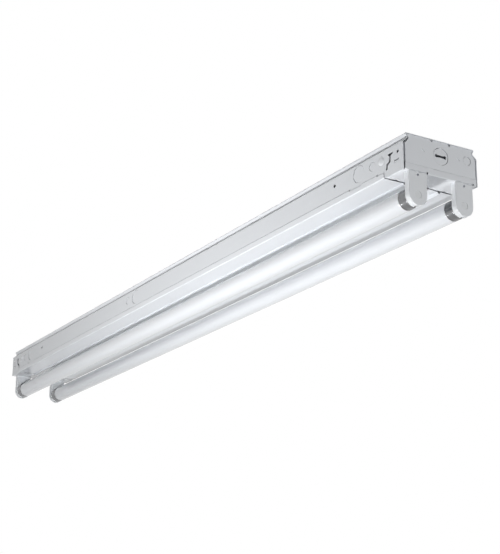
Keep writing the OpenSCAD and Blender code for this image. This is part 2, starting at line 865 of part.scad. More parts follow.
// Pressed metal cap at each end
module lamp_caps(side) {
    color("silver")
        lamp_ends(side)
            difference() {
                bar_x(lamp_r, cap_face - cap_l, cap_face, 0, 0);
                bar_x(lamp_r - cap_t, cap_face - cap_l - over, cap_face - cap_t, 0, 0);
                bar_x(insulator_r, cap_face - cap_l, cap_face + over, 0, 0);
            }
}

// Insulating disc that holds the pins in a cap
module lamp_insulators(side) {
    color("dimgray")
        lamp_ends(side)
            difference() {
                union() {
                    bar_x(insulator_r - pin_bore_gap, cap_face - insulator_t, cap_face,
                        0, 0);
                    bar_x(insulator_r + insulator_lip, cap_face - insulator_t,
                        cap_face - insulator_neck_t, 0, 0);
                }
                for (y = [-pin_offset, pin_offset])
                    bar_x(pin_r + pin_bore_gap, cap_face - insulator_t - over,
                        cap_face + over, y, 0);
            }
}

// Two contact pins at each end, from the glass out through the insulator
module lamp_pins(side) {
    color("darkgoldenrod")
        lamp_ends(side)
            for (y = [-pin_offset, pin_offset])
                bar_x(pin_r, glass_end, cap_face + pin_l, y, 0);
}

// Glass stem in each end of the tube, with the cathode coil on its two wires
module lamp_cathodes(side) {
    flare_in = glass_end - flare_t;
    stem_in = flare_in - stem_l;
    wire_in = stem_in - lead_wire_l;
    color("lightgray")
        lamp_ends(side) {
            bar_x(glass_neck_r - glass_t - stem_gap, flare_in, glass_end, 0, 0);
            bar_x(stem_r, stem_in, flare_in, 0, 0);
            for (y = [-lead_wire_y, lead_wire_y])
                bar_x(lead_wire_r, wire_in, stem_in, y, 0);
            bar_y(coil_r, 2 * coil_half_l, wire_in, 0, 0);
        }
}

// Base plate of the ballast, with an ear for a screw at each end
module ballast_base() {
    base_half_l = ballast_l / 2 + ear_l;
    color("lightgray")
        difference() {
            block([-base_half_l, -ballast_w / 2, case_z],
                [base_half_l, ballast_w / 2, base_z]);
            for (x = [-ear_x, ear_x])
                translate([x, 0, base_z])
                    cylinder(r = screw_r + plate_gap, h = 4 * over, center = true);
        }
}

// Case of the ballast, open towards its base, with a window for the leads
module ballast_case() {
    case_bottom = case_z - ballast_h;
    color("gray")
        difference() {
            block([-ballast_l / 2, -ballast_w / 2, case_bottom],
                [ballast_l / 2, ballast_w / 2, case_z]);
            block([ballast_t - ballast_l / 2, ballast_t - ballast_w / 2,
                case_bottom + ballast_t],
                [ballast_l / 2 - ballast_t, ballast_w / 2 - ballast_t, case_z + over]);
            translate([0, 0, lead_z])
                cube([ballast_l + over, bushing_w, bushing_h], center = true);
        }
}

// Plastic bushings in the case's two windows
module lead_bushings() {
    neck_in = ballast_l / 2 - 2 * ballast_t;
    color("black")
        at_both_ends()
            translate([0, 0, lead_z]) {
                block([neck_in, thread_gap - bushing_w / 2, thread_gap - bushing_h / 2],
                    [lip_out, bushing_w / 2 - thread_gap, bushing_h / 2 - thread_gap]);
                block([ballast_l / 2, -bushing_w / 2 - bushing_lip,
                    -bushing_h / 2 - bushing_lip],
                    [lip_out, bushing_w / 2 + bushing_lip,
                    bushing_h / 2 + bushing_lip]);
            }
}

// Circuit board on its posts, with its coils and capacitors
module ballast_board() {
    board_bottom = board_z - board_t;
    color("darkgreen") {
        block([-board_l / 2, -board_w / 2, board_bottom],
            [board_l / 2, board_w / 2, board_z]);
        for (share = post_shares)
            translate([share[0] * board_l, share[1] * board_w, board_z])
                cylinder(r = board_post_r, h = board_post_h);
        for (share = coil_shares)
            translate([share[0] * board_l, share[1] * board_w,
                board_bottom - coil_h / 2])
                cube([coil_l, coil_w, coil_h], center = true);
        for (share = capacitor_shares)
            translate([share[0] * board_l, share[1] * board_w,
                board_bottom - capacitor_h])
                cylinder(r = capacitor_r, h = capacitor_h);
    }
}

// Pan head screws through the ballast's ears into the channel
module ballast_screws() {
    color("silver")
        for (x = [-ear_x, ear_x])
            translate([x, 0, case_z]) {
                translate([0, 0, -screw_head_h])
                    cylinder(r = screw_head_r, h = screw_head_h);
                cylinder(r = screw_r, h = ballast_t + sheet_t - thread_gap);
            }
}

// A wire: rings joined side by side and closed at both ends
module wire(route) {
    last = len(route) - 1;
    points = [for (i = [0 : last]) each ring(route, i, wire_r)];
    sides = [for (i = [0 : last - 1], k = [0 : tube_sides - 1])
        let (
            a = i * tube_sides + k,
            b = i * tube_sides + (k + 1) % tube_sides
        )
        each [[a, a + tube_sides, b], [b, a + tube_sides, b + tube_sides]]];
    start = [for (k = [0 : tube_sides - 1]) k];
    finish = [for (k = [tube_sides - 1 : -1 : 0]) last * tube_sides + k];
    polyhedron(points, concat([start], sides, [finish]));
}

// The leads to both lampholders of an end
module lamp_leads(end) {
    at_end(end) {
        wire(rear_lead_route);
        wire(front_lead_route);
    }
}

module leads_blue() {
    color("royalblue")
        lamp_leads(right);
}

module leads_red() {
    color("firebrick")
        lamp_leads(left);
}

module supply_black() {
    color("black")
        wire(black_route);
}

module supply_white() {
    color("white")
        wire(white_route);
}

module earth_wire() {
    color("green")
        wire(earth_route);
}

// A wire nut on the end of a route, widest at its mouth
module wire_nut(route) {
    last = len(route) - 1;
    way = route[last][0] > route[last - 1][0] ? right : left;
    translate(route[last])
        rotate([0, 90 * way, 0])
            cylinder(r1 = wire_nut_r, r2 = wire_nut_tip_r, h = wire_nut_l);
}

module wire_nuts() {
    color("orange") {
        wire_nut(black_route);
        wire_nut(white_route);
        wire_nut(earth_route);
    }
}

// Earth screw in the channel's top, with the wire's ring terminal under its hexagon
module earth_screw() {
    barrel_end = -earth_washer_r - terminal_l;
    color("green")
        translate([earth_screw_x, earth_screw_y, -sheet_t]) {
            translate([0, 0, -earth_washer_t])
                cylinder(r = earth_washer_r, h = earth_washer_t);
            bar_x(terminal_r, barrel_end, -earth_washer_r + earth_washer_t, 0,
                -terminal_r);
            translate([0, 0, -earth_washer_t - earth_hex_h])
                cylinder(r = earth_hex_w / 2, h = earth_hex_h, $fn = 6);
            cylinder(r = screw_r, h = sheet_t - thread_gap);
        }
}

channel();
end_plate(left);  // end_plate_left
end_plate(right);  // end_plate_right
socket_tray(left);  // socket_tray_left
socket_tray(right);  // socket_tray_right
channel_cover();
holder_body(front, left);  // holder_body_front_left
holder_body(front, right);  // holder_body_front_right
holder_body(rear, left);  // holder_body_rear_left
holder_body(rear, right);  // holder_body_rear_right
holder_back(front, left);  // holder_back_front_left
holder_back(front, right);  // holder_back_front_right
holder_back(rear, left);  // holder_back_rear_left
holder_back(rear, right);  // holder_back_rear_right
rotor(front, left);  // rotor_front_left
rotor(front, right);  // rotor_front_right
rotor(rear, left);  // rotor_rear_left
rotor(rear, right);  // rotor_rear_right
contact(front, left);  // contact_front_left
contact(front, right);  // contact_front_right
contact(rear, left);  // contact_rear_left
contact(rear, right);  // contact_rear_right
lamp_glass(front);  // lamp_front_glass
lamp_caps(front);  // lamp_front_caps
lamp_insulators(front);  // lamp_front_insulators
lamp_pins(front);  // lamp_front_pins
lamp_cathodes(front);  // lamp_front_cathodes
lamp_glass(rear);  // lamp_rear_glass
lamp_caps(rear);  // lamp_rear_caps
lamp_insulators(rear);  // lamp_rear_insulators
lamp_pins(rear);  // lamp_rear_pins
lamp_cathodes(rear);  // lamp_rear_cathodes
ballast_base();
ballast_case();
ballast_board();
ballast_screws();
lead_bushings();
leads_blue();
leads_red();
supply_black();
supply_white();
earth_wire();
wire_nuts();
earth_screw();
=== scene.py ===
import json
import math
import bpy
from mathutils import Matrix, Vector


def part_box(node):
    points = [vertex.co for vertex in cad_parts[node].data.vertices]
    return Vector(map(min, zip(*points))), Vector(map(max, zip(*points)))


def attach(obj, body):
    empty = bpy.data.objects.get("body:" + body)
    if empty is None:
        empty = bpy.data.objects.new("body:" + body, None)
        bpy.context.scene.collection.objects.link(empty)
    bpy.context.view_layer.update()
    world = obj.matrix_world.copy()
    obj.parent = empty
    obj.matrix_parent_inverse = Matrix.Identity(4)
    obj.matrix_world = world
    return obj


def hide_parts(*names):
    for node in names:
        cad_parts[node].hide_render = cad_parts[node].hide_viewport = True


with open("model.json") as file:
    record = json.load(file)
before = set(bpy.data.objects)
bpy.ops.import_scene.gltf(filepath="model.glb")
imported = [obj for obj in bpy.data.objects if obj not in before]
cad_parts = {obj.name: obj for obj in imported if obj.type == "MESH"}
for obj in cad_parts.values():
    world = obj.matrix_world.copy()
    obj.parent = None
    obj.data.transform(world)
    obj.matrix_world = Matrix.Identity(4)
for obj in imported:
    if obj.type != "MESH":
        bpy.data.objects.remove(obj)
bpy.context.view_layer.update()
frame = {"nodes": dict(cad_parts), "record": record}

from types import SimpleNamespace

import bmesh
import bpy
from mathutils import Matrix, Vector

bl_info = {
    "name": "Two-tube shop light",
    "version": (1, 0, 0),
    "blender": (4, 5, 0),
    "location": "3D View > Sidebar > Shop Light",
    "description": "Builds the looks of a two-tube strip light around its CAD frame",
    "category": "Add Mesh",
}

# Every piece is modelled in millimetres and brought to metres when it is finished
MM = 0.001
LEFT, RIGHT = -1, 1
FRONT, REAR = -1, 1
END_NAMES = {LEFT: "left", RIGHT: "right"}
SIDE_NAMES = {FRONT: "front", REAR: "rear"}
CORNERS = [(end, side) for end in (LEFT, RIGHT) for side in (FRONT, REAR)]
FULL_TURN = 2 * math.pi
QUARTER_TURN = math.pi / 2
AXES = {"X": Vector((1, 0, 0)), "Y": Vector((0, 1, 0)), "Z": Vector((0, 0, 1))}
# How far a cutter reaches past what it cuts
OVER = 1.0
# How near two places are that count as one, and two points that are merged
NEAR = 1e-3
MERGE = 1e-4
# Sides of round shapes, from the tubes down to the smallest holes
TUBE_SIDES = 96
DISC_SIDES = 64
HOLE_SIDES = 48
SLOT_SIDES = 32
SMALL_SIDES = 24
# Steps of a sheet's bend, and of a rounded edge that shows
BEND_STEPS = 5
EDGE_STEPS = 3
# Faces that meet at fewer degrees than this are shaded as one surface
SMOOTH_ANGLE = 38.0

# Sizes are in millimetres. A place along the light is measured from its end, or from
# its middle where the name ends in X. Heights are below the ceiling, so negative.

# Channel
NECK_WIDTH = 98.0
TOP_WIDTH = 104.6
NECK_DEPTH = 6.0
SHOULDER_DEPTH = 11.4
# Holes: place and radius, and for those of the walls the depth between the two
CEILING_HOLE = (114.3, 3.3)
WALL_HOLE = (11.0, 21.5, 2.0)
PILOT_HOLE = (141.0, 22.0, 2.2)
# Screw holes: X, place across the light and radius, and the X of the ballast's two
EARTH_SCREW = (300.0, 44.0, 2.05)
BALLAST_SCREW_X = 126.5

# Knockouts: radii, slit and bridges, and how far the disc sits back from its sheet
BIG_KNOCKOUT = 11.1
SMALL_KNOCKOUT = 5.9
KNOCKOUT_SLIT = 0.5
KNOCKOUT_BRIDGE = 3.0
KNOCKOUT_SINK = 0.35
KNOCKOUT_EDGE = 0.15
# How far a bridge goes into the sheet round it, and is thinner than the disc
BRIDGE_REACH = 0.3
BRIDGE_INSET = 0.05
WALL_KNOCKOUT_DEPTH = 23.5
TOP_KNOCKOUT_X = 228.6
END_KNOCKOUTS = ((89.5, BIG_KNOCKOUT), (61.5, SMALL_KNOCKOUT))
MIDDLE_KNOCKOUTS_X = ((-88.4, BIG_KNOCKOUT), (-115.4, SMALL_KNOCKOUT))

# Dimples: place and depth, radius, height, and how far the root goes into the wall
DIMPLE = (43.0, 23.0)
DIMPLE_RADIUS = 6.2
DIMPLE_HEIGHT = 1.5
DIMPLE_ROOT = 0.4
# Power that shapes the rise from foot to crown: 1 is a cone, and more a steeper foot
DIMPLE_STEEPNESS = 2.5
DIMPLE_STEPS = 10

# Hanger slots: width, and the points (place, height) that head and leg run through
HANGER_SLOT = 2.8
HANGER_HEAD = ((22.0, -20.0), (28.5, -20.0))
HANGER_LEG = ((25.8, -20.0), (26.6, -29.3), (31.6, -31.6), (32.8, -37.0))

# Lances: the stretch of wall, the opening's middle and height, and the pushed-in strap
LANCE_SPAN = (8.7, 17.7)
LANCE_MIDDLE = -32.3
LANCE_OPENING = 4.2
LANCE_STRAP = (-34.2, -31.7)
LANCE_DEPTH = 0.6
LANCE_SLOPE = 1.0
LANCE_ROOT = 0.05

# End plates: gaps to the channel's top, walls and neck, and the set-back from its end
PLATE_GAP = 0.3
PLATE_SIDE_GAP = 1.7
PLATE_NECK_GAP = 0.9
PLATE_SETBACK = 0.9
# How much narrower the plate is at its top, and how far its edge runs past the neck
PLATE_TOP_TAPER = 0.6
PLATE_NECK_DROP = 0.8
# Both plates stand this much nearer to the rear wall, as on the photographed light
PLATE_SHIFT = 1.3
PLATE_BEND = 0.9
PLATE_BOTTOM = -41.0
# Flanges: their lowest and highest edge, their length, and the step below them
PLATE_FLANGE = (-36.6, -12.2)
PLATE_FLANGE_LENGTH = 19.0
PLATE_STEP = (0.2, 0.4)
# Slot in a flange behind the wall's end hole: its run towards the middle and its width
FLANGE_SLOT = (4.5, 9.0)
PLATE_BIG_KNOCKOUT = (0.0, -19.2)
PLATE_SMALL_KNOCKOUT = (40.0, -16.0)
# Pry slot: half its run, the radius of its round ends and its height between them
PRY_SLOT = (6.3, 2.2, 2.8)
# Pressed marks: place, then half the run across, half the rise, width and depth
PLATE_MARKS = (26.2, -17.0)
PLATE_MARK = (1.5, -1.1, 1.4, 0.7)
# Notches in the upper edge: place across the light, height and radius
BEND_NOTCHES = (13.3, -1.5, 1.7)

# Socket trays
TRAY_LENGTH = 35.0
TRAY_SLIT = 2.8
TRAY_GAP = 0.15
TRAY_BEND = 1.3
TRAY_FLANGE_TOP = -37.4
TRAY_SIDE_TOP = -38.8
TRAY_SIDE_SETBACK = 2.8
# The flange's upper edge leans in by the first over the height of the second
TRAY_LIP = (0.85, 1.5)
# Places across the light of the notches in the flange's edge, and in that by the cover
TRAY_NOTCHES = (-31.0, 0.0, 31.0)
NOTCH_RADIUS = 1.3
SEAM_NOTCHES = (-41.0, 6.0, 31.5)
SEAM_NOTCH_RADIUS = 1.9
# Windows that the lampholders stand in, with a round relief at each upper corner
WINDOW_GAP = 0.2
WINDOW_TOP = -45.6
RELIEF_RADIUS = 1.5
# Rounding of the cut edges of trays and cover, and the band that they are found in
SHEET_EDGE_ROUND = 0.6
EDGE_BAND = 0.1

# Cover
COVER_GAP = 0.15
COVER_FLANGE_TOP = -38.4
# The flange's lip stands out by the first, below its edge by the second
COVER_LIP = (0.6, 1.2)
# Ridge: places across the light, each with its height from the cover's flat, which
# is negative where the ridge hangs below it
RIDGE = ((27.4, 0.0), (26.9, -3.5), (23.5, 0.0))
RIDGE_BEND = 0.4
# Long notches in the flanges: place of the middle, length and depth
FLANGE_NOTCH = (94.5, 25.0, 2.3)
END_NOTCH_LENGTH = 12.0

# Lampholders, about their tube's axis
HOLDER_RADIUS = 13.2
HOLDER_THICKNESS = 8.4
HOLDER_BACK = 1.2
HOLDER_FRONT = 1.6
HOLDER_RECESS = 1.0
HOLDER_EDGE = 0.7
HOLDER_ARC_STEPS = 40
# Foot in the tray: its two places from the light's end, half its width and its height
HOLDER_FOOT = (11.2, 2.7, 15.0, 3.6)
FOOT_EDGE = 0.4
ENTRY_SLOT = 3.2
# Wire hole: place and radius. Test hole: height above the axis and radius.
WIRE_HOLE = (4.9, 1.35)
TEST_HOLE = (24.9, 1.5)
# Room for the contacts behind the rotor: half its width, its bottom and its top
CHAMBER = (9.3, -4.8, 13.7)

# Rotors: radii of boss, collar, hub and journal, with their chamfers and clearances
ROTOR_BOSS = 7.6
ROTOR_COLLAR = 8.6
ROTOR_HUB = 6.8
ROTOR_JOURNAL = 4.75
ROTOR_CHAMFER = 0.4
JOURNAL_CHAMFER = 0.3
JOURNAL_SINK = 0.3
ROTOR_FLOAT = 0.1
ROTOR_COLLAR_THICKNESS = 0.9
ROTOR_FLOOR = 0.8
ROTOR_SLOT = 2.9
RUNNING_GAP = 0.05
COLLAR_GAP = 0.3

# Tubes
TUBE_PLAY = 0.5
GLASS_WALL = 0.8
GLASS_INSET = 5.0
GLASS_SHOULDER = 2.0
# Bends at the foot and the head of the glass shoulder: along the tube, and in radius
SHOULDER_FOOT = (0.7, 0.12)
SHOULDER_HEAD = (0.6, 0.06)

# Caps, with the turned-in mouth and the staked ring as (from the mouth, depth)
CAP_LENGTH = 14.0
CAP_SHEET = 0.35
CAP_ROLL = 1.1
CAP_ROLL_STEPS = 5
CAP_MOUTH = ((0, 0.12), (0.15, 0))
CAP_RING = ((2.6, 0), (2.9, 0.16), (3.5, 0.16), (3.8, 0))
# The glass is necked down by this much, so that it goes into the cap with some play
GLASS_NECKING = 1.5 * CAP_SHEET

# Insulators and pins
INSULATOR_RADIUS = 9.0
INSULATOR_THICKNESS = 1.8
INSULATOR_LIP = 1.6
INSULATOR_GAP = 0.02
INSULATOR_CHAMFER = (0.15, 0.25)
PIN_OFFSET = 6.35
PIN_RADIUS = 1.175
PIN_LENGTH = 6.65
PIN_GAP = 0.05
# A pin's rounded end as (from the tip, share of the radius)
PIN_TIP = ((0.7, 1.0), (0.3, 0.85), (0.06, 0.5), (0.0, 0.0))


def linear(hex_colour):
    """Turns an sRGB hex value into Blender's linear colour, with full alpha."""
    shares = [int(hex_colour[i:i + 2], 16) / 255 for i in (1, 3, 5)]
    return tuple(
        s / 12.92 if s <= 0.04045 else ((s + 0.055) / 1.055) ** 2.4 for s in shares
    ) + (1.0,)


def length_property(name, description, default):
    """A length that the user may change, in metres."""
    return bpy.props.FloatProperty(
        name=name, description=description, default=default, min=0, unit="LENGTH",
        subtype="DISTANCE", precision=5)


def colour_property(name, description, hex_colour):
    """A colour that the user may change."""
    return bpy.props.FloatVectorProperty(
        name=name, description=description, default=linear(hex_colour), size=4, min=0,
        max=1, subtype="COLOR")


def reach(node, axis, end=1):
    """How far a CAD node reaches along an axis, in metres."""
    return abs(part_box(node)[end][axis])


class ShopLightSizes(bpy.types.PropertyGroup):
    """The sizes that the whole light follows"""

    length: length_property(
        "Length", "Length over the two socket trays",
        2 * reach("socket_tray_right", 0))
    channel_width: length_property(
        "Channel width", "Width over the channel's side walls",
        2 * (reach("channel", 1) - DIMPLE_HEIGHT * MM))
    channel_depth: length_property(
        "Channel depth", "Height of the channel's side walls",
        reach("channel", 2, 0))
    sheet: length_property(
        "Channel sheet", "Thickness of the channel's and end plates' sheet", 0.8 * MM)
    cover_sheet: length_property(
        "Cover sheet", "Thickness of the cover's and trays' sheet", 0.7 * MM)
    bend: length_property(
        "Bend radius", "Outer radius of the sheet's bends", 1.6 * MM)
    tube_radius: length_property(
        "Tube radius", "Radius of the fluorescent tubes",
        (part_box("lamp_front_glass")[1][2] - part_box("lamp_front_glass")[0][2]) / 2)
    tube_spacing: length_property(
        "Tube spacing", "Distance between the tubes' axes",
        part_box("lamp_rear_glass")[1][1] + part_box("lamp_rear_glass")[0][1])
    tube_drop: length_property(
        "Tube drop", "Depth of the tubes' axes below the ceiling",
        -(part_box("lamp_front_glass")[1][2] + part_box("lamp_front_glass")[0][2]) / 2)


class ShopLightFinishes(bpy.types.PropertyGroup):
    """The colours of the light and its floor"""

    enamel: colour_property(
        "Enamel", "Baked enamel on the channel, trays and cover", "#E8EBEF")
    holder: colour_property(
        "Lampholders", "Moulded plastic of the lampholders", "#EAEDF0")
    rotor: colour_property(
        "Rotors", "Moulded plastic of the rotors that hold the pins", "#E6E9EB")
    glass: colour_property(
        "Tubes", "Phosphor coat seen through the tubes' glass", "#E3E6EA")
    # The caps' grey is darker than bare aluminium: painted shade for the dark
    # surroundings that the caps mirror
    cap: colour_property("Tube caps", "Pressed aluminium caps of the tubes", "#838486")
    floor: colour_property("Floor", "Plain floor far below the light", "#F2F2F2")


def measures(context):
    """The user's sizes in millimetres, with those that follow from them."""
    group = context.scene.shop_light_sizes
    m = SimpleNamespace(
        **{key: getattr(group, key) / MM for key in ShopLightSizes.__annotations__})
    m.half_length = m.length / 2
    m.channel_end = m.half_length - m.cover_sheet
    m.half_width = m.channel_width / 2
    m.inner_half_width = m.half_width - m.sheet
    m.tray_end = m.half_length - TRAY_LENGTH
    m.cover_end = m.tray_end - TRAY_SLIT
    m.tray_top = m.cover_sheet - m.channel_depth
    m.tray_half_width = m.inner_half_width - TRAY_GAP
    m.holder_outer = m.half_length - HOLDER_RECESS
    m.holder_inner = m.holder_outer - HOLDER_THICKNESS
    m.holder_split = m.holder_outer - HOLDER_BACK
    m.holder_top = m.tube_drop + m.tray_top
    m.cap_face = m.holder_inner - TUBE_PLAY
    return m


# Mesh helpers


def verts_of(geometry):
    """The vertices among what an operator returned."""
    return [item for item in geometry if isinstance(item, bmesh.types.BMVert)]


def edges_of(geometry):
    """The edges among what an operator returned."""
    return [item for item in geometry if isinstance(item, bmesh.types.BMEdge)]


def wire(bm, points, closed=False):
    """A line of edges through the points. Returns its vertices and its edges."""
    verts = [bm.verts.new(point) for point in points]
    pairs = list(zip(verts, verts[1:])) + ([(verts[-1], verts[0])] if closed else [])
    return verts, [bm.edges.new(pair) for pair in pairs]


def round_corners(bm, verts, radius, steps=BEND_STEPS):
    """Rounds corners of a line or a flat face to a radius."""
    for vert in verts:
        ways = [edge.other_vert(vert).co - vert.co for edge in vert.link_edges]
        turn = math.pi - ways[0].angle(ways[1])
        bmesh.ops.bevel(
            bm, geom=[vert], offset=radius * math.tan(turn / 2), offset_type="OFFSET",
            segments=steps, profile=0.5, affect="VERTICES", material=-1)


def soften(bm, edges, width, steps=2):
    """Bevels edges by a width."""
    bmesh.ops.bevel(
        bm, geom=edges, offset=width, offset_type="OFFSET", segments=steps,
        profile=0.5, affect="EDGES", material=-1, clamp_overlap=True)


def draw_out(bm, edges, vector):
    """Extrudes edges along a vector. Returns the new edges."""
    made = bmesh.ops.extrude_edge_only(bm, edges=edges)["geom"]
    bmesh.ops.translate(bm, verts=verts_of(made), vec=vector)
    return edges_of(made)


def fold(bm, edges, centre, axis, angle):
    """Spins edges round a bend. Returns the edges at the bend's end."""
    made = bmesh.ops.spin(
        bm, geom=edges, cent=centre, axis=axis, angle=angle, steps=BEND_STEPS,
        use_merge=False, use_duplicate=False)
    return edges_of(made["geom_last"])


def edges_where(bm, test):
    """The edges whose two ends both pass a test."""
    return [edge for edge in bm.edges if all(test(vert.co) for vert in edge.verts)]


def give_wall(bm, thickness, outside):
    """Turns an open sheet into a solid one, on its side away from a direction."""
    bmesh.ops.recalc_face_normals(bm, faces=bm.faces)
    widest = max(bm.faces, key=lambda face: face.calc_area())
    if widest.normal.dot(outside) < 0:
        bmesh.ops.reverse_faces(bm, faces=bm.faces)
    bmesh.ops.solidify(bm, geom=bm.faces[:], thickness=thickness)


def rod(bm, radius, start, end, sides=HOLE_SIDES):
    """A round bar between two points."""
    start, end = Vector(start), Vector(end)
    run = end - start
    turn = AXES["Z"].rotation_difference(run).to_matrix().to_4x4()
    made = bmesh.ops.create_cone(
        bm, cap_ends=True, cap_tris=False, segments=sides, radius1=radius,
        radius2=radius, depth=run.length,
        matrix=Matrix.Translation((start + end) / 2) @ turn)
    return made["verts"]


def drill(bm, radius, centre, through, sides=HOLE_SIDES):
    """A round bar that reaches from a point along a vector, both ways."""
    centre, through = Vector(centre), Vector(through)
    return rod(bm, radius, centre - through, centre + through, sides)


def bar(bm, low, high):
    """A block between its lowest and its highest corner."""
    low, high = Vector(low), Vector(high)
    bmesh.ops.create_cube(
        bm, size=1,
        matrix=Matrix.Translation((low + high) / 2) @ Matrix.Diagonal(
            (*(high - low), 1)))


def slot(bm, start, end, width, through):
    """A round-ended slot between two points, cut along the vector through."""
    start = Vector(start)
    run = Vector(end) - start
    verts = drill(bm, width / 2, start, through, SMALL_SIDES)
    far = [vert for vert in verts if (vert.co - start).dot(run) > 0]
    bmesh.ops.translate(bm, verts=far, vec=run)


def turned(profile, centre=(0, 0, 0), sides=TUBE_SIDES):
    """A closed profile of (place along X, radius) spun into a solid."""
    bm = bmesh.new()
    _, edges = wire(bm, [(along, 0, radius) for along, radius in profile], closed=True)
    bmesh.ops.spin(
        bm, geom=bm.verts[:] + edges, cent=(0, 0, 0), axis=AXES["X"], angle=FULL_TURN,
        steps=sides, use_merge=True, use_duplicate=False)
    bmesh.ops.remove_doubles(bm, verts=bm.verts, dist=MERGE)
    bmesh.ops.dissolve_degenerate(bm, dist=MERGE, edges=bm.edges)
    bmesh.ops.recalc_face_normals(bm, faces=bm.faces)
    bmesh.ops.translate(bm, verts=bm.verts, vec=centre)
    return bm


def as_object(bm, name):
    """A new object in the scene that holds a shape."""
    mesh = bpy.data.meshes.new(name)
    bm.to_mesh(mesh)
    item = bpy.data.objects.new(name, mesh)
    bpy.context.scene.collection.objects.link(item)
    return item


def combine(bm, tool, operation="DIFFERENCE"):
    """Cuts the tool's shapes out of bm, or joins them to it, and frees the tool."""
    body, other = as_object(bm, "cut body"), as_object(tool, "cut tool")
    change = body.modifiers.new("change", "BOOLEAN")
    change.object = other
    change.operation = operation
    change.solver = "EXACT"
    change.use_self = True
    bpy.context.view_layer.update()
    result = body.evaluated_get(bpy.context.evaluated_depsgraph_get())
    bm.clear()
    bm.from_mesh(result.to_mesh())
    result.to_mesh_clear()
    tool.free()
    for item in (body, other):
        mesh = item.data
        bpy.data.objects.remove(item)
        bpy.data.meshes.remove(mesh)
    if not bm.faces:
        raise RuntimeError("a cut left nothing of its piece")


def join(bm, *others):
    """Adds other shapes to bm as they are."""
    for other in others:
        mesh = bpy.data.meshes.new("joined")
        other.to_mesh(mesh)
        bm.from_mesh(mesh)
        bpy.data.meshes.remove(mesh)
        other.free()


def flipped(bm):
    """A copy of a shape mirrored from end to end, its faces still outwards."""
    copy = bm.copy()
    bmesh.ops.scale(copy, vec=(-1, 1, 1), verts=copy.verts)
    bmesh.ops.reverse_faces(copy, faces=copy.faces)
    return copy


def shifted(bm, vector):
    """A moved copy of a shape."""
    copy = bm.copy()
    bmesh.ops.translate(copy, verts=copy.verts, vec=vector)
    return copy


def knockout_disc(radius, thickness, turn=0.0):
    """A knockout's loose disc in the XY plane, its face at z = 0, with two bridges."""
    bm = bmesh.new()
    rod(bm, radius - KNOCKOUT_SLIT, (0, 0, -thickness), (0, 0, 0), DISC_SIDES)
    soften(bm, edges_where(bm, lambda co: abs(co.z) < NEAR), KNOCKOUT_EDGE)
    bridges = bmesh.new()
    reach_out = radius + BRIDGE_REACH
    bar(bridges, (-reach_out, -KNOCKOUT_BRIDGE / 2, -thickness + BRIDGE_INSET),
        (reach_out, KNOCKOUT_BRIDGE / 2, -BRIDGE_INSET))
    combine(bm, bridges, "UNION")
    bmesh.ops.rotate(
        bm, cent=(0, 0, 0), matrix=Matrix.Rotation(turn, 3, "Z"), verts=bm.verts)
    return bm


def placed(bm, centre, normal, side=AXES["Z"]):
    """Stands a shape drawn in the XY plane on a sheet whose outside is normal."""
    normal, side = Vector(normal), Vector(side)
    across = side.cross(normal)
    turn = Matrix((across, side, normal)).transposed()
    bmesh.ops.transform(
        bm, matrix=Matrix.Translation(centre) @ turn.to_4x4(), verts=bm.verts)
    return bm


def finish_piece(bm, name, body, slot_name, replaced):
    """Makes a shape in millimetres into a finished piece in metres."""
    bmesh.ops.scale(bm, vec=(MM, MM, MM), verts=bm.verts)
    piece = as_object(bm, name)
    bm.free()
    piece.data.materials.append(finish_for(slot_name))
    piece.data.shade_smooth()
    piece.data.set_sharp_from_angle(angle=math.radians(SMOOTH_ANGLE))
    weighted = piece.modifiers.new("even shading on flats", "WEIGHTED_NORMAL")
    weighted.keep_sharp = True
    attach(piece, body)
    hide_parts(*replaced)


def finish_both_ends(shape, piece, node):
    """Finishes a sheet part of the right end, and its mirror image at the left end."""
    for end, part in ((LEFT, flipped(shape)), (RIGHT, shape)):
        name = END_NAMES[end]
        finish_piece(part, f"{name}_{piece}", "housing", "white_enamel",
                     [f"{node}_{name}"])


# Materials


# The mix node's sockets for colours: its factor, its two colours and its result
MIX_FACTOR, MIX_FIRST, MIX_SECOND, MIX_RESULT = 0, 6, 7, 2
# Octaves of the noise behind clouds and grain
CLOUD_DETAIL = 3.0
GRAIN_DETAIL = 2.0


def new_material(name):
    """A material with its shader. Returns it, its tree and the shader."""
    material = bpy.data.materials.new(name)
    material.use_nodes = True
    tree = material.node_tree
    return material, tree, tree.nodes["Principled BSDF"]


def add(tree, kind, values=None, links=None, **settings):
    """Adds a node with its settings, its sockets' values and its links."""
    node = tree.nodes.new("ShaderNode" + kind)
    for key, value in settings.items():
        setattr(node, key, value)
    for socket, value in (values or {}).items():
        node.inputs[socket].default_value = value
    for socket, source in (links or {}).items():
        tree.links.new(source, node.inputs[socket])
    return node


def set_values(shader, **values):
    """Sets constants on a shader's own sockets."""
    for key, value in values.items():
        shader.inputs[key.replace("_", " ")].default_value = value


def shade(colour, factor):
    """A colour made darker or lighter by a factor."""
    return tuple(min(1.0, channel * factor) for channel in colour[:3]) + (1.0,)


